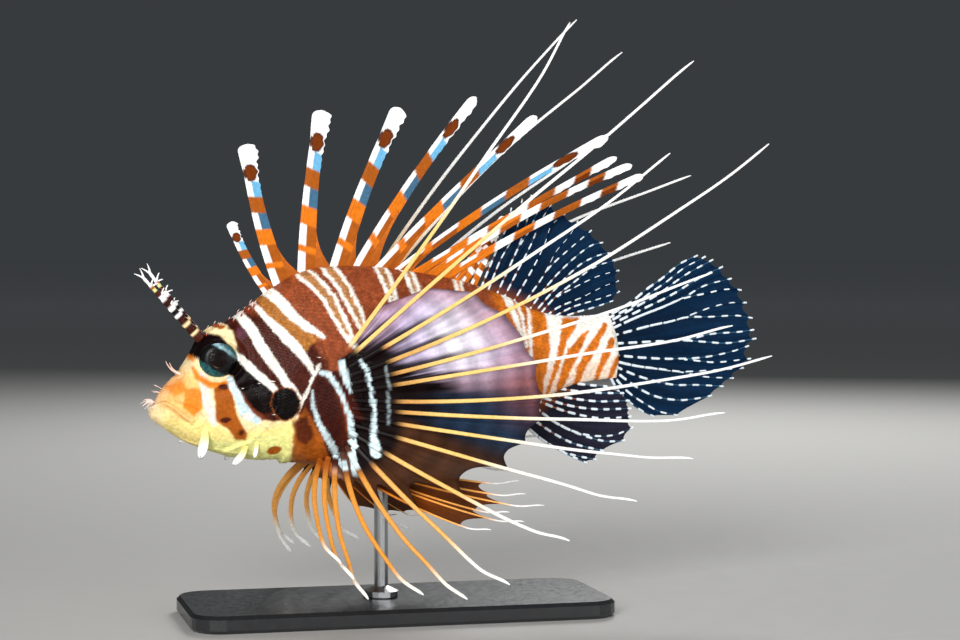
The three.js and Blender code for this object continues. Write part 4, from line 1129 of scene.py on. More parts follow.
# Distance between two rows of scales as a share of the distance between the scales of a row
ROW_STEP = 0.56
# Pieces of the coat: name, and where each starts and ends along x
SCALE_PIECES = (("scales_nape", 26, 58), ("scales_flank", 58, 92), ("scales_tail", 92, 141))


def scale_template():
    """Points and faces of one scale: a domed top over a flat base."""
    top = []
    for along, width, up in SCALE_ROWS:
        for across in SCALE_COLUMNS:
            rounding = 0.2 * across**2 * along
            top.append((along - rounding, across * width, up * (1 - 0.25 * across**2)))
    rows, columns = len(SCALE_ROWS), len(SCALE_COLUMNS)
    index = np.arange(rows * columns).reshape(rows, columns)
    rim = rim_of(index)
    after = np.roll(rim, -1)
    base = rows * columns
    low = [(0.5, 0.0, -1.2)]
    under = np.stack([after, rim, np.full(len(rim), base), np.full(len(rim), base)], axis=-1)
    return np.array(top + low), np.concatenate([grid_faces(rows, columns)[:, ::-1], under])


def scale_roots(sheet):
    """Roots of the scales in staggered rows, with the step between them."""
    rng = np.random.default_rng(5)
    xs, steps = np.array(SCALE_STEPS).T
    x, row = xs[0], 0
    roots = []
    while x < xs[-1] - 0.8:
        step = np.interp(x, xs, steps)
        girth = np.interp(x, sheet.x, sheet.round)
        count = int(girth / step)
        column = (np.arange(count) + 0.5 * (row % 2) + 0.25) / count * (sheet.columns - 1)
        jitter = rng.uniform(-0.05, 0.05, (2, count)) * step
        columns = column + jitter[1] / girth * (sheet.columns - 1)
        roots.append(np.stack([x + jitter[0], columns, np.full(count, step)], axis=-1))
        x += step * ROW_STEP
        row += 1
    return np.concatenate(roots)


def bare_skin(points):
    """Where the skin has no scales: the face, the gills' edge, the fin's pad and the throat."""
    x, z = points[:, 0], points[:, 2]
    pad = depth_inside(x, z, FIN_PAD) > 0.8
    throat = inside(x, z, THROAT)
    front = signed_distance(x, z, SCALES_FRONT) < 0
    edge = np.abs(signed_distance(x, z, GILL_EDGE)) < 0.5
    return pad | throat | front | (edge & (z < 20))


def build_scales():
    sheet = SkinSheet()
    coat = settings().coat
    roots = scale_roots(sheet)
    x, column, step = roots.T
    spots = sheet.at(x, column, sheet.points)
    keep = ~bare_skin(spots)
    x, column, step, spots = x[keep], column[keep], step[keep], spots[keep]
    normal = unit(sheet.at(x, column, sheet.normal))
    ahead = sheet.at(np.minimum(x + 0.6, sheet.x[-1]), column, sheet.points)
    along = unit(ahead - spots)
    along = unit(along - normal * np.sum(along * normal, axis=-1, keepdims=True))
    across = np.cross(normal, along)
    template, faces = scale_template()
    rng = np.random.default_rng(8)
    size = step * rng.uniform(0.94, 1.06, len(step))
    length = size * coat.overlap * ROW_STEP
    width = size * coat.width * 0.5
    lift = coat.lift / MM * rng.uniform(0.8, 1.2, len(step)) * np.clip(step, 0.7, 1.2)
    points = (spots[:, None]
              + along[:, None] * (template[:, 0] * length[:, None])[..., None]
              + across[:, None] * (template[:, 1] * width[:, None])[..., None]
              + normal[:, None] * (template[:, 2] * lift[:, None] - 0.03)[..., None])
    colours = markings(points)
    pale = ease(0.25, 0.7, colours[..., :3].mean(axis=-1))
    # Painted shade: the sides and free edge of each scale are darkened, except on pale paint; speckle is a
    # random tone per scale.
    border = np.maximum(ease(0.3, 0.5, np.abs(template[:, 1])), ease(0.75, 0.92, template[:, 0]))
    speckle = rng.uniform(0.8, 1.14, len(step))[:, None]
    tone = 1 + (speckle * (1 - 0.2 * border) - 1) * (1 - 0.9 * pale)
    colours[..., :3] *= tone[..., None]
    patch = 0.003
    flat = sheet.unwrap(x, column)[:, None] + (template[:, :2] * (1, 0.5) - (0.5, 0)) * patch
    material = scale_material()
    for name, low, high in SCALE_PIECES:
        chosen = (x >= low) & (x < high)
        count = chosen.sum()
        offsets = np.arange(count)[:, None, None] * len(template)
        shape = Shape()
        on_top = np.tile(np.arange(len(faces)) < (len(SCALE_ROWS) - 1) * (len(SCALE_COLUMNS) - 1), count)
        shape.add(points[chosen], (faces[None] + offsets), colours[chosen],
                  flat[chosen][:, faces].reshape(-1, 4, 2), on_top)
        shape.make(name, material, "skin")


def eye_colours(far, turn):
    """Paint of an eyeball by distance from its middle and turn, from the front up over the eye."""
    eye = settings().eye
    radius = eye.radius / MM
    ahead, up = far * np.cos(turn), far * np.sin(turn)
    ground = mix(colour("black_brown"), colour("teal"), 0.5 + 0.4 * STREAK.at(
        np.stack([far * 0.6, turn * 3, np.zeros_like(far)], axis=-1), 0.35))
    slant = math.radians(-40)
    over = ahead * math.sin(slant) + up * math.cos(slant)
    behind = -ahead * math.cos(slant) - up * math.sin(slant)
    # The ice arcs at the upper rear and lower front are partly the iris's pale colour and partly painted
    # highlights; glints breaks up the upper one.
    glints = 0.7 + 0.5 * GRAIN.at(np.stack([ahead, up, np.zeros_like(far)], axis=-1), 0.7)
    arc = np.exp(-((over - 3.6 - 0.1 * behind) / 0.85) ** 2)
    glint_arc = arc * ease(-4.5, -2, behind) * ease(4.6, 2.6, behind)
    painted = mix(ground, colour("ice_glint"), np.clip(glint_arc * glints * 1.2, 0, 1))
    low = np.exp(-((over + 3.4) / 0.35) ** 2) * ease(-1.6, -0.6, behind) * ease(1.4, 0.4, behind)
    painted = mix(painted, colour("ice_glint"), np.clip(low * 1.1, 0, 1))
    painted = mix(painted, colour("black"), ease(2.9, 2.5, np.abs(over)) * 0.97)
    painted = mix(painted, colour("black"), ease(eye.pupil / MM + 0.12, eye.pupil / MM - 0.12, far))
    painted = mix(painted, colour("black_brown"), ease(radius * 0.82, radius * 0.93, far))
    return painted


def eye_material():
    nodes = Nodes("Eyes")
    attribute = nodes.add("ShaderNodeAttribute", attribute_name=COLOUR)
    shade = nodes.spread(nodes.noise(0.0005), 0.8, 1.2)
    nodes.join(nodes.shaded(attribute.outputs["Color"], shade), nodes.shader.inputs["Base Color"])
    nodes.join(nodes.spread(nodes.noise(0.0008), 0.3, 0.42), nodes.shader.inputs["Roughness"])
    nodes.bump([(nodes.noise(0.0004), 0.12)], 0.0001)
    nodes.set(coat_weight=0.05, coat_roughness=0.04, specular_ior_level=0.15)
    return nodes.material


def cornea_material():
    """Clear glass: it shows what is behind it and reflects the lamps at its surface."""
    nodes = Nodes("Cornea")
    nodes.tree.nodes.remove(nodes.shader)
    through = nodes.add("ShaderNodeBsdfTransparent")
    gloss = nodes.add("ShaderNodeBsdfGlossy")
    gloss.inputs["Roughness"].default_value = 0.03
    fresnel = nodes.add("ShaderNodeFresnel")
    fresnel.inputs["IOR"].default_value = 1.11
    both = nodes.add("ShaderNodeMixShader")
    nodes.join(fresnel.outputs["Fac"], both.inputs["Fac"])
    nodes.join(through.outputs["BSDF"], both.inputs[1])
    nodes.join(gloss.outputs["BSDF"], both.inputs[2])
    nodes.join(both.outputs["Shader"], nodes.output.inputs["Surface"])
    return nodes.material


def eyeball(side, grow, inset):
    """Points of an eyeball as rings from its outer pole to behind its widest ring."""
    eye = settings().eye
    cx, cy, cz = (part / MM for part in eye.centre)
    pole = np.linspace(0.0, math.radians(118), 44)[1:]
    turn = np.linspace(0, 2 * math.pi, 72, endpoint=False)
    far = (eye.radius / MM + grow) * np.sin(pole)[:, None] + np.zeros_like(turn)
    out = (eye.bulge / MM + grow) * np.cos(pole)[:, None] + np.zeros_like(turn)
    out = out - inset * ease(4.2, 1.2, far)
    x = cx - far * np.cos(turn)
    z = cz + far * np.sin(turn)
    return np.stack([x, side * (cy + out), z], axis=-1), far, turn + np.zeros_like(far)


def add_ball(shape, rings, far, turn):
    """An eyeball from its rings, closed at the outer pole and behind."""
    rows, columns = rings.shape[:2]
    pole = rings[0].mean(axis=0)
    back = rings[-1].mean(axis=0)
    every = np.concatenate([rings.reshape(-1, 3), [pole, back]])
    colours = np.concatenate([eye_colours(far, turn).reshape(-1, 4), [colour("black")] * 2])
    shape.add(every, capped_faces(rows, columns), colours)


def build_eyes():
    ball, cornea = eye_material(), cornea_material()
    for name, side in (("left", -1), ("right", 1)):
        shape = Shape()
        add_ball(shape, *eyeball(side, -0.25, 0.7))
        piece = shape.make(f"eyeball_{name}", ball, "eye")
        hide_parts(f"eye_{name}")
        shape = Shape()
        add_ball(shape, *eyeball(side, 0.0, 0.0))
        shape.make(f"cornea_{name}", cornea, "eye")


def bowed(root, tip, push, steps):
    """Points from root to tip with the middle pushed off the straight line, and their shares."""
    share = np.linspace(0, 1, steps)
    root, tip, push = (np.asarray(part, float) for part in (root, tip, push))
    path = root + (tip - root) * share[:, None] + push * (4 * share * (1 - share))[:, None]
    return path, share


def banded(share, bands):
    """Colours along a share from bands given as where each ends and its colour, with soft edges."""
    painted = np.broadcast_to(colour(bands[0][1]), (*np.shape(share), 4)).copy()
    for (end, _), (_, name) in zip(bands[:-1], bands[1:]):
        painted = mix(painted, colour(name), ease(end - 0.008, end + 0.008, share))
    return painted


# Bands of a feeler from its root up: where each ends as a share, and its colour
FEELER_BANDS = (
    (0.09, "dark_brown"), (0.12, "face"), (0.22, "dark_red_brown"), (0.26, "face"), (0.36, "dark_red_brown"),
    (0.40, "white"), (0.46, "black_brown"), (0.52, "white"), (0.61, "dark_red_brown"), (0.69, "white"),
    (0.76, "dark_brown"), (0.80, "throat_green"), (0.84, "orange_brown"), (1.0, "white"),
)


def build_feelers():
    """The long fringed feeler over each eye."""
    material = ray_material()
    rng = np.random.default_rng(17)
    for name, (root, tip) in BROW_FEELERS.items():
        side = -1 if name == "left" else 1
        root, tip = np.array(root, float), np.array(tip, float)
        middle = (root + tip) / 2 + (-0.6, -side * 0.6, 0.8)
        path = smooth_curve([root - (tip - root) * 0.06, middle, tip], FEELER_POINTS)
        share = np.linspace(0, 1, len(path))
        frill = 1 + 0.14 * np.sin(share * 55) * ease(0.1, 0.3, share)
        half = (1.55 - 1.2 * share) * frill
        shape = Shape()
        paint = banded(share, FEELER_BANDS)
        shape.rod(path, half, 0.55 * half, paint, (0, side, 0), sides=14)
        along = unit(tip - root)
        upward = unit(np.cross(along, (0.0, side, 0.0))) * -side
        for place_on, length, forks in ((0.38, 1.0, 1), (0.5, 1.9, 2), (0.66, 2.4, 2), (0.83, 2.6, 2)):
            start = path[int(place_on * (FEELER_POINTS - 1))]
            for fork in range(forks):
                lean = (fork - (forks - 1) / 2) * 0.9 + rng.uniform(-0.1, 0.1)
                reach = length * rng.uniform(0.7, 1.0)
                end = start + (upward * (1.0 - 0.2 * abs(lean)) + along * (0.35 + lean)) * reach
                end[1] += side * rng.uniform(-0.6, 0.6)
                twig, part = bowed(start - upward * 0.2, end, along * 0.25, 14)
                shape.thorn(twig, part, (0.36, 0.6), (0.26, 0.6), colour("white"), side)
        for lean in (-0.35, 0.35):
            end = tip + along * 2.0 + upward * lean * 3
            twig, part = bowed(tip - along * 0.8, end, upward * 0.1, 12)
            shape.thorn(twig, part, (0.34, 0.7), (0.22, 0.6), colour("white"), side)
        piece = shape.make(f"brow_tentacle_{name}", material, "feeler")
        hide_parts(f"brow_feeler_{name}")


def add_flap(shape, flap, tone):
    """A soft leaf of skin that hangs from the head, with a notched end."""
    *places, half, thick = flap
    path = smooth_curve(places, 26)
    share = np.linspace(0, 1, 26)
    across = np.linspace(-1, 1, 15)
    along = unit(np.gradient(path, axis=0))
    width = half * (0.55 + 0.9 * share - 0.5 * share**2) * np.sqrt(np.clip(1.02 - share**6, 0.02, 1))
    beside = unit(np.cross(along, (0, 1.0, 0.15)))
    middle = path[:, None] + beside[:, None] * (width[:, None] * across)[..., None]
    notch = 0.35 * half * np.cos(across * 7.5) * ease(0.6, 1, share)[:, None]
    middle = middle + along[:, None] * notch[..., None]
    middle[..., 1] += 0.18 * half * np.cos(across * 3)
    edge = np.sqrt(np.clip(1 - across**2, 0.03, 1)) * np.sqrt(np.clip(1.04 - share[:, None]**4, 0.05, 1))
    paint = mix(colour(tone), colour("white"), ease(0.2, 0.8, share)[:, None] + np.zeros_like(across))
    paint[..., 3] = 0.95
    shape.sheet(middle, thick * edge, paint)


def build_flaps():
    """Skin flaps under the jaw and cheek."""
    material = web_material("Flaps")
    for group, tables, tone in (("jaw", JAW_FLAPS, "throat_green"), ("cheek", CHEEK_FLAPS, "jaw_yellow")):
        for name, flap in tables.items():
            shape = Shape()
            add_flap(shape, flap, tone)
            if group == "cheek":
                side = -1 if name == "left" else 1
                small = [(x, -y * side, z) for x, y, z in SMALL_FLAP[:3]]
                add_flap(shape, (*small, *SMALL_FLAP[3:]), tone)
            piece = shape.make(f"{group}_cirrus_{name}", material, "feeler")
            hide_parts(f"{group}_flap_{name}")


# Small spines of the head: root in side view, distance from the middle, length
HEAD_SPINES = (
    (17.6, 21.6, 6.2, 0.9), (19.4, 22.0, 6.0, 1.3), (21.4, 21.8, 5.6, 1.5), (22.6, 21.8, 5.4, 0.8),
    (25.8, 22.8, 4.6, 1.0), (28.2, 24.0, 4.4, 1.7), (30.4, 25.2, 4.2, 0.9), (32.0, 26.2, 4.2, 1.7),
)
# Small spines of the cheek: root in side view, length
CHEEK_SPINES = (
    (33.4, 4.6, 1.1), (29.6, 4.5, 0.8), (25.0, 3.7, 0.8), (32.4, -4.6, 1.0), (30.2, -7.8, 1.1),
    (27.2, -10.4, 0.9), (46.6, 9.6, 1.3),
)


def surface_y(x, z):
    """Half width of the skin at a place in side view."""
    turns = np.linspace(0.02, math.pi - 0.02, 400)
    ring = body_point(np.full(turns.shape, x), turns)
    return float(np.interp(-z, -ring[:, 2], -ring[:, 1]))


def build_head_trim():
    """Small spines, the nostril flaps and the fine threads of the snout."""
    shape = Shape()
    for side in (-1, 1):
        for x, z, y, length in HEAD_SPINES:
            top = float(station(BACK, x))
            root = np.array([x, side * y, min(z, top + 1.2) - 0.8])
            tip = root + np.array([0.55, side * 0.15, 1.0]) * length
            path, share = bowed(root, tip, (-0.12, 0, 0.1), 9)
            paint = mix(colour("dark_red"), colour("blush"), ease(0.2, 0.9, share))
            shape.thorn(path, share, (0.28, 0.85), (0.28, 0.85), paint, side)
        for x, z, length in CHEEK_SPINES:
            root = np.array([x - 0.5, side * (surface_y(x, z) - 0.1), z])
            tip = root + np.array([1.0, side * 0.32, -0.12]) * length * 1.2
            path, share = bowed(root, tip, (0, side * 0.12, 0), 9)
            paint = mix(markings(root), colour("cream"), ease(0.2, 1.0, share))
            shape.thorn(path, share, (0.34, 0.85), (0.34, 0.85), paint, side)
        nostril = np.array([9.2, side * (surface_y(9.2, 9.4) - 0.2), 9.4])
        path, share = bowed(nostril, nostril + (-2.6, side * 1.0, 3.6), (-0.4, 0, -0.3), 16)
        paint = mix(colour("blush"), colour("orange_brown"), 0.4 * ease(0.2, 0.6, share))
        shape.thorn(path, share, (0.42, 0.8), (0.3, 0.75), paint, side)
        for x, z, reach in ((3.9, 6.4, (-1.8, 0.9, 1.2)), (3.2, 5.4, (-1.9, 0.9, 0.5))):
            root = np.array([x, side * (surface_y(x, z - 0.6) * 0.7), z - 0.6])
            path, share = bowed(root, root + np.array(reach) * (1, side, 1), (0, 0, 0.1), 9)
            shape.thorn(path, share, (0.11, 0.5), (0.11, 0.5), colour("blush"), side, sides=6)
        lip = np.array([1.2, side * 2.6, 2.6])
        for reach in ((-3.4, 1.4, -0.6), (-3.0, 1.8, -1.5), (-2.4, 0.9, 0.3)):
            path, share = bowed(lip, lip + np.array(reach) * (1, side, 1), (0, 0, 0.35), 12)
            shape.thorn(path, share, (0.2, 0.75), (0.14, 0.7), colour("blush"), side)
    shape.make("head_spines", ray_material(), "skin")


def spine_width(share, widths):
    """Width of a dorsal spine with its skin, which narrows to a waist and ends in a lobe."""
    at_root, at_waist, at_tip = widths
    low = at_root + (at_waist - at_root) * np.clip(share / 0.6, 0, 1)
    return low + (at_tip - at_waist) * np.clip((share - 0.8) / 0.2, 0, 1)


def spine_paint(share, across, bands, late):
    """Colours of a ribbon: the stiff spine in front, clear skin behind it and a dot under the lobe."""
    down = 1 - share
    front = np.broadcast_to(colour(bands[0][1]), (*down.shape, 4)).copy()
    skin = np.broadcast_to(colour(bands[0][2]), (*down.shape, 4)).copy()
    for (end, _, _), (_, on_spine, on_skin) in zip(bands[:-1], bands[1:]):
        slant = end + 0.012 * across
        share_in = ease(slant - 0.006, slant + 0.006, down)
        front = mix(front, colour(on_spine), share_in)
        clear = {"sky": 0.9, "steel_blue": 0.85}.get(on_skin, 0.98)
        skin = mix(skin, colour(on_skin, clear), share_in)
    painted = mix(front, skin, ease(-0.22, -0.1, across))
    if not late:
        dot = np.hypot((down - 0.19) / 0.056, (across + 0.08) / 0.95)
        painted = mix(painted, colour("dark_brown"), ease(1.1, 0.96, dot))
        painted = mix(painted, colour("spot_brown"), ease(0.98, 0.7, dot))
    return painted


def build_dorsal_spines():
    """Thirteen stiff spines, each with its own banner of skin, joined low down."""
    ray_paint, web = ray_material(), web_material("Spine skin")
    banners, shafts = Shape(), Shape()
    paths = []
    for k, (x, angle, length, bow, lean, *widths) in enumerate(DORSAL_SPINES):
        turn = math.radians(angle)
        root = np.array([x, 0, float(station(BACK, x)) - 3])
        forward = np.array([math.cos(turn), 0, math.sin(turn)])
        upward = np.array([-math.sin(turn), 0, math.cos(turn)])
        tip = root + forward * (length + 3) + (0, lean, 0)
        path, share = bowed(root, tip, upward * bow, 110)
        late = k >= SPINE_WITH_LATE_BANDS
        bands = LATE_SPINE_BANDS if late else SPINE_BANDS
        width = spine_width(share, widths)
        along = unit(np.gradient(path, axis=0))
        behind = unit(np.cross((0, 1, 0), along))
        across = np.linspace(-1, 1, 25)
        end = np.sqrt(np.clip(1.004 - np.clip((share - 0.955) / 0.045, 0, 1) ** 2, 0.02, 1))
        rag = 1 + (0.10 * np.sin(share * 140 + k) + 0.08 * np.sin(share * 61 + 2 * k)) * ease(0.6, 0.8, share)
        reach = np.where(across > 0, (width / 2 * rag)[:, None], (width / 2)[:, None]) * end[:, None]
        middle = path[:, None] + behind[:, None] * (reach * across)[..., None]
        middle[..., 1] += 0.22 * np.sin(share * 9 + k)[:, None] * ease(-0.2, 1, across)
        thick = 0.16 + 0.12 * ease(0.3, -0.6, across)
        thick = thick * np.sqrt(np.clip(1.02 - across**4, 0.05, 1)) + np.zeros((len(path), 1))
        paint = spine_paint(share[:, None] + 0 * across, across + 0 * share[:, None], bands, late)
        banners.sheet(middle, thick, paint)
        edge = path - behind * (width / 2 * end)[:, None] * 0.72
        half = 0.5 * (1 - 0.5 * share) * np.minimum(width / 3.2, 1)
        front = spine_paint(share, np.full(share.shape, -0.9), bands, late)
        shafts.rod(edge[:-4], half[:-4], half[:-4] * 1.1, front[:-4], (0, 1, 0), sides=12)
        paths.append((path, behind, width))
    join_spines(banners, paths)
    banners.make("spine_banners", web, "spine")
    piece = shafts.make("dorsal_spines", ray_paint, "spine")
    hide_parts("spiny_dorsal_fin")


def join_spines(shape, paths):
    """The skin that sweeps from the back of each spine down to the foot of the next."""
    for k, ((path, behind, width), (after, _, after_width)) in enumerate(zip(paths[:-1], paths[1:])):
        rise = 40 if k < 6 else 26
        rows = np.arange(4, rise)
        share = np.linspace(0, 1, len(rows))
        start = path[rows] + behind[rows] * (width[rows] * 0.3)[:, None]
        reach = (4 + (len(rows) - 1) * (0.55 * share)).astype(int)
        end = after[np.minimum(reach, 20)] - behind[4] * (after_width[4] * 0.1)
        across = np.linspace(0, 1, 16)
        cut = (1 - share[:, None]) ** 2.2 * across + (1 - (1 - share[:, None]) ** 2.2) * across * 0.1
        cut = np.clip(cut, 0, 1)
        middle = start[:, None] + (end - start)[:, None] * cut[..., None]
        middle[..., 1] += 0.3 * np.sin(cut * 6 + k)
        low = mix(colour("orange_brown", 0.97), colour("orange", 0.95), share[:, None] + 0 * across)
        stretched = np.stack([middle[..., 0], middle[..., 2] * 4, middle[..., 1]], axis=-1)
        streak = 0.5 + 0.5 * STREAK.at(stretched, 1.4)
        paint = mix(low, colour("red_brown", 0.97), 0.5 * streak)
        shape.sheet(middle, 0.14, paint)


def ray_tube(shape, path, share, roots, tips, paint, outward, groove=0.28, sides=14):
    """A long ray that tapers and closes at its tip, with a groove along its outer and inner side."""
    half = roots + (tips - roots) * share
    half = half * np.sqrt(np.clip(1.0 - np.clip((share - 0.97) / 0.03, 0, 1) * 0.8, 0.05, 1))
    shape.rod(path, half, half * 0.92, paint, outward, sides=sides, groove=groove)


def pectoral_paths(name):
    """The long rays of a side fin: their points, shares and how far the web reaches along them."""
    side = -1 if name == "left" else 1
    table = PECTORAL_RAYS[name]
    roots = smooth_curve([(x, -side * y, z) for x, y, z in PECTORAL_ROOTS], len(table))
    rng = np.random.default_rng(41 if name == "left" else 43)
    rays = []
    for k, (angle, length, bow) in enumerate(table):
        share = k / (len(table) - 1)
        turn = math.radians(angle)
        forward = np.array([math.cos(turn), 0, math.sin(turn)])
        upward = np.array([-math.sin(turn), 0, math.cos(turn)])
        root = roots[k]
        tip = root + forward * length
        tip[1] = side * list_at(PECTORAL_SPREAD, share)
        path, along = bowed(root, tip, upward * bow, 130)
        bend = ease(0.82, 1.0, along) ** 1.5
        hook = rng.uniform(-0.6, 1.0) if k < 7 else rng.uniform(0.8, 1.8)
        path = path + upward * (bend * hook)[:, None]
        waver = 0.35 * np.sin(along * rng.uniform(9, 14) + rng.uniform(0, 6)) * ease(0.4, 0.9, along)
        path = path + upward * waver[:, None]
        rays.append((path, along, min(PECTORAL_REACH[k] / length, 0.62)))
    return rays


def rooted(points, root, own, k):
    """The fin's base carries the body's own pattern, which ends sooner on the first and last rays."""
    reach = float(np.interp(k, (0, 1, 2, 9, 12, 16), (2.5, 4, 12, 14, 8, 3)))
    far = np.linalg.norm(points - root, axis=-1)
    return mix(own, markings(points), ease(reach + 2.5, reach - 1.5, far))


def pectoral_ray_paint(k, share, name):
    """Colours along a long ray: gold, then cream and white; the lowest stay deep gold for longer."""
    low = float(ease(8, 13, k))
    pale_from = (0.36 if name == "left" else 0.2) + 0.4 * low
    body = mix(colour("gold"), colour("deep_gold" if name == "left" else "peach"), np.full(share.shape, low))
    painted = mix(body, colour("cream"), ease(pale_from, pale_from + 0.2, share))
    painted = mix(painted, colour("white"), ease(pale_from + 0.16, pale_from + 0.34, share))
    return mix(painted, colour("orange_brown"), 0.6 * ease(0.26, 0.12, share) * float(ease(1, 4, k)))


# Where the pale part of the side fin's web starts, by its angle from level in degrees, in mm from the base
PALE_FROM = ((-90, -12, 0, 10, 25, 45, 60), (60, 32, 26, 21, 17, 18, 15))


def pectoral_web_paint(points, across, outward, k):
    """Colours of the side fin's web: black base and streaks, a pale violet middle and a rosy margin."""
    x, z = points[..., 0] - 56, points[..., 2] + 3
    far = np.hypot(x, z)
    angle = np.degrees(np.arctan2(z, x))
    lines = STREAK.at(np.stack([far * 0.05, across * 8 + k * 7.0, np.zeros_like(far)], axis=-1), 1.0)
    fine = STREAK.at(np.stack([far * 0.03, across * 24 + k * 3.0, np.ones_like(far)], axis=-1), 1.0)
    start = np.interp(angle, *PALE_FROM)
    wedge = ease(0.4, 0.62, across - 0.45 * outward + 0.1 * lines) * ease(0.85, 0.5, outward)
    pale = ease(-4, 8, far - start + 4 * lines) * (1 - 0.92 * wedge) * ease(-12, 6, angle)
    bars = 1 + 0.2 * np.cos((far - 31) / 6.5 * 2 * math.pi)
    # Painted highlight: a white sheen in the middle of the pale web.
    painted_sheen = np.exp(-((far - 33) / 9) ** 2 - ((angle - 22) / 20) ** 2)
    painted = np.broadcast_to(colour("web_black"), (*far.shape, 4)).copy()
    tone = mix(colour("web_violet"), colour("white"), 0.55 * painted_sheen)
    tone = mix(tone, colour("web_rose"), 0.5 * ease(12, -2, angle) + 0.35 * ease(44, 58, angle))
    painted = mix(painted, tone, pale)
    slate = ease(16, 32, far + 5 * lines) * ease(-34, -22, angle) * ease(0, -10, angle)
    painted = mix(painted, colour("web_slate"), 0.8 * slate)
    painted = mix(painted, colour("web_umber"), ease(-26, -38, angle) * ease(8, 20, far))
    margin = ease(0.66, 0.98, outward) * ease(-22, -4, angle)
    painted = mix(painted, colour("web_rose"), 0.7 * margin * (0.75 + 0.25 * lines))
    painted = mix(painted, colour("web_black"), 0.55 * ease(0.95, 0.99, outward))
    painted[..., :3] *= (bars * (1 + 0.12 * fine + 0.08 * lines))[..., None]
    painted[..., 3] = 0.97 - 0.1 * ease(-12, -30, angle) * ease(0.3, 1, outward)
    return np.clip(painted, 0, 1)


def build_pectorals():
    """The two great side fins: long free rays over a short web."""
    fins = settings().fins
    ray_paint, web_paint = ray_material(), web_material("Fin web")
    for name, side in (("left", -1), ("right", 1)):
        rays = pectoral_paths(name)
        tubes, web = Shape(), Shape()
        for k, (path, share, _) in enumerate(rays):
            paint = rooted(path, path[0], pectoral_ray_paint(k, share, name), k)
            stout = 1 + (0.36 if name == "left" else 0.5) * float(ease(8, 12, k))
            at_root, at_tip = fins.ray_root / MM * stout, fins.ray_tip / MM * stout
            ray_tube(tubes, path, share, at_root, at_tip, paint, (0, side, 0))
        for k, (first, second) in enumerate(zip(rays[:-1], rays[1:])):
            add_web(web, first, second, k, side)
        piece = tubes.make(f"pectoral_rays_{name}", ray_paint, "fin")
        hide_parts(f"pectoral_fin_{name}")
        web.make(f"pectoral_web_{name}", web_paint, "fin")


def between_rays(path_a, path_b, share, along, t):
    """Points between two rays, at shares along both and t across."""
    point_a = np.stack([np.interp(along, share, path_a[:, c]) for c in range(3)], axis=-1)
    point_b = np.stack([np.interp(along, share, path_b[:, c]) for c in range(3)], axis=-1)
    return point_a * (1 - t)[:, None] + point_b * t[:, None], np.linalg.norm(point_b - point_a, axis=-1)


def add_web(shape, first, second, k, side):
    """The web between two rays: it hangs in a shallow fold, and its margin is cut back between them."""
    fins = settings().fins
    (path_a, share, reach_a), (path_b, _, reach_b) = first, second
    t = (1 - np.cos(np.linspace(0, math.pi, 23))) / 2
    s = np.linspace(0, 1, 64)[:, None]
    notch = PECTORAL_NOTCH[k]
    cut = 1 - notch * np.clip(4 * t * (1 - t), 0, 1) ** (1 if notch < 0.2 else 0.45)
    along = 0.03 + ((reach_a * (1 - t) + reach_b * t) * cut - 0.03) * s
    middle, gap = between_rays(path_a, path_b, share, along, t)
    fold = 4 * t * (1 - t) * np.minimum(gap * 0.12, fins.billow / MM)
    pleat = 0.12 * np.sin(t * math.pi * 6 + k) * ease(0.1, 0.5, s) * np.minimum(gap / 6, 1)
    middle[..., 1] -= side * (fold + pleat)
    own = pectoral_web_paint(middle, t + 0 * s, s + 0 * t, k)
    shape.sheet(middle, fins.web / MM * (1.2 - 0.5 * s) + 0 * t, rooted(middle, path_a[0], own, k))


def build_pelvics():
    """The two pelvic fins, drawn back under the belly."""
    fins = settings().fins
    ray_paint, web_paint = ray_material(), web_material("Pelvic web")
    for name, side in (("left", -1), ("right", 1)):
        tubes, web = Shape(), Shape()
        rays = []
        for k, (x, z) in enumerate(PELVIC_TIPS[name]):
            root = (51 - 0.5 * k, side * (3.6 + 0.75 * k), -20.5)
            tip = (x, side * (10 + 2.2 * k), z)
            path, share = bowed(root, tip, (0, 0, -0.8 - 0.3 * k), 100)
            path[:, 2] += 1.6 * ease(0.82, 1, share) ** 1.5
            paint = mix(colour("orange_pale"), colour("peach"), ease(0.3, 0.7, share))
            paint = mix(paint, colour("white"), ease(0.76, 0.88, share))
            at_root, at_tip = fins.soft_root / MM, fins.soft_tip / MM
            ray_tube(tubes, path, share, at_root, at_tip, paint, (0, side, 0), groove=0)
            rays.append((path, share, 0.8))
        for k, (first, second) in enumerate(zip(rays[:-1], rays[1:])):
            add_pelvic_web(web, first, second, k, side)
        piece = tubes.make(f"pelvic_rays_{name}", ray_paint, "fin")
        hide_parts(f"pelvic_fin_{name}")
        web.make(f"pelvic_web_{name}", web_paint, "fin")


def add_pelvic_web(shape, first, second, k, side):
    """The web between two pelvic rays, over most of their length."""
    (path_a, share, reach), (path_b, _, _) = first, second
    t = np.linspace(0, 1, 11)
    s = np.linspace(0, 1, 60)[:, None]
    along = 0.02 + (reach * (1 - 0.05 * 4 * t * (1 - t)) - 0.02) * s
    middle, _ = between_rays(path_a, path_b, share, along, t)
    middle[..., 1] -= side * 4 * t * (1 - t) * 0.5
    lines = STREAK.at(np.stack([along * 3, (t + 0 * s) * 9 + k * 5, 0 * along], axis=-1), 1.0)
    paint = mix(colour("orange_brown"), colour("pelvic_web"), ease(0, 0.4, s + 0 * t))
    paint = mix(paint, colour("web_umber"), 0.5 * ease(0.5, 1, s + 0 * t))
    paint[..., :3] *= (1 + 0.2 * lines)[..., None]
    paint[..., 3] = 0.9
    shape.sheet(middle, settings().fins.web / MM, np.clip(paint, 0, 1))


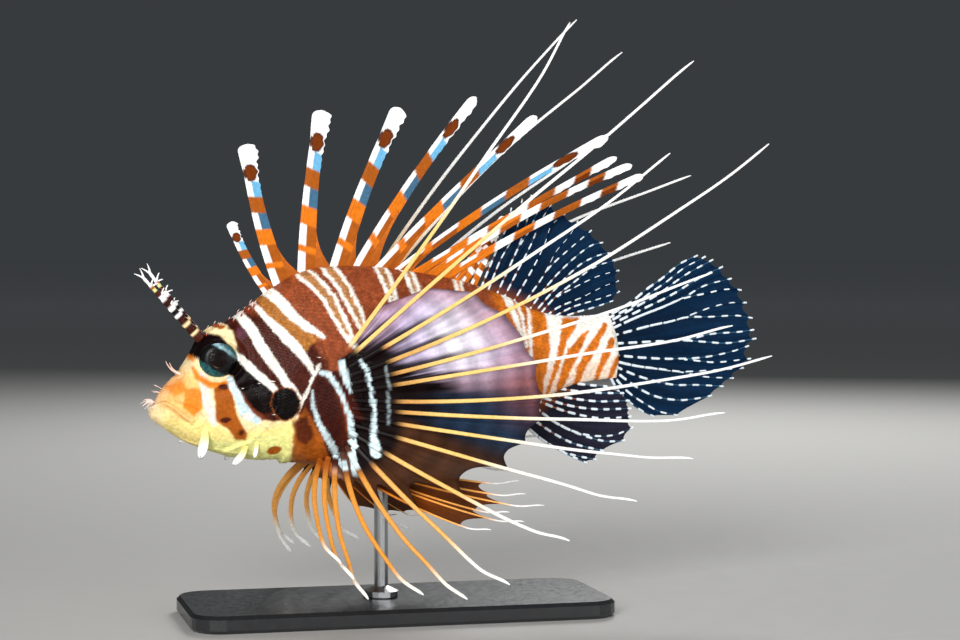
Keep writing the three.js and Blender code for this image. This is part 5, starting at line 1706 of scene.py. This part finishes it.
def dashed(run, period, total, ground, between):
    """How much of a dash each place along a soft ray shows, with the ray's colours there."""
    share = run / total
    fill = 0.42 - 0.62 * ease(0.3, 1, share)
    on = ease(-0.3, 0.25, np.cos((total - run) / period * 2 * math.pi - 0.6) + fill)
    gap = mix(colour(between), mix(ground, colour("sky"), np.full(run.shape, 0.22)), ease(0.2, 0.6, share))
    pale = mix(colour("white"), colour("sky"), np.full(run.shape, 0.25))
    return on, mix(gap, pale, on)


def soft_path(places, sway):
    """A soft ray in space: it leans sideways more and more towards its tip."""
    flat = smooth_curve(places, SOFT_RAY_POINTS)
    run = running_length(flat)
    return np.stack([flat[:, 0], sway * run / run[-1], flat[:, 1]], axis=-1), run


def build_soft_fin(name):
    """A soft fin: dashed rays, some of them forked, over a thin dark web."""
    rays, sway, period, (root_half, tip_half), web_colour, between = SOFT_FINS[name]
    tubes, web = Shape(), Shape()
    ground = colour(web_colour)
    lines = []
    for k, branches in enumerate(rays):
        lean = sway * math.sin(SWAY_TURN * k / (len(rays) - 1))
        stem = None
        for places in filter(None, branches):
            path, run = soft_path(places, lean)
            start = 0
            if stem is not None:
                apart = np.linalg.norm(path - stem, axis=-1) > 0.3
                start = int(np.argmax(apart))
            on, paint = dashed(run, period, run[-1], ground, between)
            share = run / run[-1]
            half = (root_half + (tip_half - root_half) * share) * (0.5 + 0.5 * on)
            tubes.rod(path[start:], half[start:], half[start:] * 0.9, paint[start:], (0, 1, 0), sides=10)
            lines.append((path, start))
            stem = path
    t = np.linspace(0, 1, 9)
    s = np.linspace(0, 1, 60)[:, None]
    steps = np.linspace(0, 1, SOFT_RAY_POINTS)
    for k, ((path_a, _), (path_b, start)) in enumerate(zip(lines[:-1], lines[1:])):
        first = start / (SOFT_RAY_POINTS - 1)
        along = first + (0.985 - 0.03 * 4 * t * (1 - t) - first) * s
        middle, gap = between_rays(path_a, path_b, steps, along, t)
        middle[..., 1] += 0.18 * np.sin(t * math.pi * 2 + k) * ease(0, 0.6, s) * np.minimum(gap / 3, 1)
        fine = STREAK.at(np.stack([along * 4, (t + 0 * s) * 8 + k * 5, 0 * along], axis=-1), 1.0)
        paint = np.broadcast_to(ground, (*along.shape, 4)).copy()
        paint[..., :3] *= (1 + 0.35 * fine + 0.5 * ease(0.3, 0.9, along))[..., None]
        paint = mix(paint, colour(between), 0.5 * ease(0.18, 0.02, along))
        paint[..., 3] = 0.94
        web.sheet(middle, settings().fins.web / MM * (1.2 - 0.5 * s) + 0 * t, np.clip(paint, 0, 1))
    rays_piece = tubes.make(f"{name}_rays", ray_material(), "dark_fin")
    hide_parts(name)
    web.make(f"{name}_web", web_material(f"{name} web"), "dark_fin")


def build_soft_fins():
    for name in SOFT_FINS:
        build_soft_fin(name)


def stand_base_material():
    nodes = Nodes("Stand base")
    black = colour("stand_black")
    nodes.blend(black, [*(black[:3] * 1.7), 1], nodes.noise(0.004, 6))
    nodes.join(nodes.spread(nodes.noise(0.0015, 6), 0.28, 0.42), nodes.shader.inputs["Roughness"])
    nodes.bump([(nodes.noise(0.0006), 0.08), (nodes.noise(0.02, 2, (1, 12, 1)), 0.04)], 0.0002)
    nodes.set(coat_weight=0.15, coat_roughness=0.1)
    return nodes.material


def stand_rod_material():
    nodes = Nodes("Stand rod")
    steel = colour("steel")
    nodes.blend([*(steel[:3] * 0.75), 1], steel, nodes.noise(0.0006, 5, (1, 1, 24)))
    nodes.join(nodes.spread(nodes.noise(0.0005, 4, (1, 1, 30)), 0.2, 0.36), nodes.shader.inputs["Roughness"])
    nodes.bump([(nodes.noise(0.0003, 3, (1, 1, 40)), 0.1)], 0.0001)
    nodes.set(metallic=1.0)
    return nodes.material


def finish_stand():
    """The stand's own solids show, with a satin black base and a brushed steel rod."""
    for node, material, slot in (
            ("stand_base", stand_base_material(), "stand_base"),
            ("stand_rod", stand_rod_material(), "stand_rod")):
        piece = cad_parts[node]
        piece.data.materials.clear()
        piece.data.materials.append(material)


def build_floor():
    """A plain pale floor that grows lighter far from the stand."""
    stage = settings().stage
    rings = np.concatenate([[0.0], np.geomspace(0.05, stage.floor_size, 40)])
    turn = np.linspace(0, 2 * math.pi, 96, endpoint=False)
    far = rings[:, None]
    points = np.stack([far * np.cos(turn), far * np.sin(turn), 0 * far * turn], axis=-1)
    mesh = bpy.data.meshes.new("floor")
    faces = grid_faces(len(rings), len(turn), wrap=True)
    mesh.from_pydata(points.reshape(-1, 3).tolist(), [], faces.tolist())
    nodes = Nodes("Floor")
    length = nodes.add("ShaderNodeVectorMath", operation="LENGTH")
    nodes.join(nodes.coordinates, length.inputs[0])
    fade = nodes.add("ShaderNodeMapRange", interpolation_type="SMOOTHSTEP")
    fade.inputs["From Min"].default_value = 0.8
    fade.inputs["From Max"].default_value = 3.5
    nodes.join(length.outputs["Value"], fade.inputs["Value"])
    nodes.blend(stage_colour("floor"), stage_colour("far_floor"), fade.outputs["Result"])
    nodes.join(nodes.spread(nodes.noise(0.01), 0.7, 0.85), nodes.shader.inputs["Roughness"])
    nodes.set(specular_ior_level=0.08)
    mesh.materials.append(nodes.material)
    floor = bpy.data.objects.new("floor", mesh)
    bpy.context.scene.collection.objects.link(floor)


# Soft lamps: name, place in metres, size, watts
LAMPS = (
    ("key", (-0.50, -0.95, 0.52), 0.60, 12.5),
    ("fill", (0.60, -0.90, 0.22), 0.70, 4.2),
    ("rim", (0.35, 0.70, 0.60), 0.45, 6.0),
    ("low", (-0.35, -0.80, 0.05), 0.40, 2.4),
)


def build_lamps():
    """Soft lamps that face the fish, and an even light all round."""
    stage = settings().stage
    aim = Vector(stage.aim)
    for name, spot, size, watts in LAMPS:
        lamp = bpy.data.lights.new(name, "AREA")
        lamp.energy = watts * stage.brightness
        lamp.shape = "DISK"
        lamp.size = size
        holder = bpy.data.objects.new(name, lamp)
        holder.location = spot
        holder.rotation_mode = "QUATERNION"
        holder.rotation_quaternion = (aim - Vector(spot)).to_track_quat("-Z", "Y")
        bpy.context.scene.collection.objects.link(holder)
    world = bpy.data.worlds.new("Studio")
    world.use_nodes = True
    background = world.node_tree.nodes["Background"]
    background.inputs["Color"].default_value = stage_colour("background")
    background.inputs["Strength"].default_value = 1.0
    bpy.context.scene.world = world
    bpy.context.scene.view_settings.view_transform = "Standard"


def build_camera():
    """The camera at the photograph's viewing angle."""
    stage = settings().stage
    cos = math.cos(stage.elevation)
    back = Vector((math.sin(stage.azimuth) * cos, -math.cos(stage.azimuth) * cos, math.sin(stage.elevation)))
    data = bpy.data.cameras.new("camera")
    data.lens = stage.lens
    data.sensor_width = 36
    data.clip_start = 0.01
    data.clip_end = 20
    camera = bpy.data.objects.new("camera", data)
    camera.location = Vector(stage.aim) + back * stage.distance
    camera.rotation_mode = "QUATERNION"
    camera.rotation_quaternion = (-back).to_track_quat("-Z", "Y")
    bpy.context.scene.collection.objects.link(camera)
    bpy.context.scene.camera = camera


class LIONFISH_OT_skin(bpy.types.Operator):
    """Build the skin over head, trunk and tail root"""
    bl_idname = "lionfish.skin"
    bl_label = "Skin"

    def execute(self, context):
        build_skin()
        return {"FINISHED"}


class LIONFISH_OT_scales(bpy.types.Operator):
    """Lay the scales over the skin"""
    bl_idname = "lionfish.scales"
    bl_label = "Scales"

    def execute(self, context):
        build_scales()
        return {"FINISHED"}


class LIONFISH_OT_eyes(bpy.types.Operator):
    """Set the eyeballs with their corneas"""
    bl_idname = "lionfish.eyes"
    bl_label = "Eyes"

    def execute(self, context):
        build_eyes()
        return {"FINISHED"}


class LIONFISH_OT_head_trim(bpy.types.Operator):
    """Build the feelers, flaps, threads and small spines of the head"""
    bl_idname = "lionfish.head_trim"
    bl_label = "Head trim"

    def execute(self, context):
        build_feelers()
        build_flaps()
        build_head_trim()
        return {"FINISHED"}


class LIONFISH_OT_dorsal_spines(bpy.types.Operator):
    """Build the dorsal spines with their banners of skin"""
    bl_idname = "lionfish.dorsal_spines"
    bl_label = "Dorsal spines"

    def execute(self, context):
        build_dorsal_spines()
        return {"FINISHED"}


class LIONFISH_OT_side_fins(bpy.types.Operator):
    """Build the pectoral and pelvic fins"""
    bl_idname = "lionfish.side_fins"
    bl_label = "Side fins"

    def execute(self, context):
        build_pectorals()
        build_pelvics()
        return {"FINISHED"}


class LIONFISH_OT_soft_fins(bpy.types.Operator):
    """Build the soft dorsal, anal and tail fins"""
    bl_idname = "lionfish.soft_fins"
    bl_label = "Soft fins"

    def execute(self, context):
        build_soft_fins()
        return {"FINISHED"}


class LIONFISH_OT_stand(bpy.types.Operator):
    """Finish the display stand"""
    bl_idname = "lionfish.stand"
    bl_label = "Stand"

    def execute(self, context):
        finish_stand()
        return {"FINISHED"}


class LIONFISH_OT_stage(bpy.types.Operator):
    """Set up the floor, lamps and camera"""
    bl_idname = "lionfish.stage"
    bl_label = "Stage"

    def execute(self, context):
        build_floor()
        build_lamps()
        build_camera()
        return {"FINISHED"}


OPERATORS = (
    LIONFISH_OT_skin, LIONFISH_OT_scales, LIONFISH_OT_eyes, LIONFISH_OT_head_trim, LIONFISH_OT_dorsal_spines,
    LIONFISH_OT_side_fins, LIONFISH_OT_soft_fins, LIONFISH_OT_stand, LIONFISH_OT_stage,
)


class LIONFISH_PT_panel(bpy.types.Panel):
    """Lists the steps that build the display model, with its sizes and colours"""
    bl_label = "Lionfish"
    bl_idname = "LIONFISH_PT_panel"
    bl_space_type = "VIEW_3D"
    bl_region_type = "UI"
    bl_category = "Lionfish"

    def draw(self, context):
        layout = self.layout
        for step in OPERATORS:
            layout.operator(step.bl_idname)
        for name in ("body", "coat", "eye", "fins", "colours", "stage"):
            box = layout.box()
            group = getattr(settings(), name)
            box.label(text=name.title())
            for key in group.__annotations__:
                box.prop(group, key)


CLASSES = (
    LionfishBody, LionfishCoat, LionfishEye, LionfishFins, LionfishColours, LionfishStage, LionfishSettings,
    *OPERATORS, LIONFISH_PT_panel,
)


def register():
    for item in CLASSES:
        bpy.utils.register_class(item)
    bpy.types.Scene.lionfish = PointerProperty(type=LionfishSettings)


def unregister():
    del bpy.types.Scene.lionfish
    for item in reversed(CLASSES):
        bpy.utils.unregister_class(item)


def main():
    register()
    bpy.ops.lionfish.skin()
    bpy.ops.lionfish.scales()
    bpy.ops.lionfish.eyes()
    bpy.ops.lionfish.head_trim()
    bpy.ops.lionfish.dorsal_spines()
    bpy.ops.lionfish.side_fins()
    bpy.ops.lionfish.soft_fins()
    bpy.ops.lionfish.stand()
    bpy.ops.lionfish.stage()


if __name__ == "__main__":
    main()
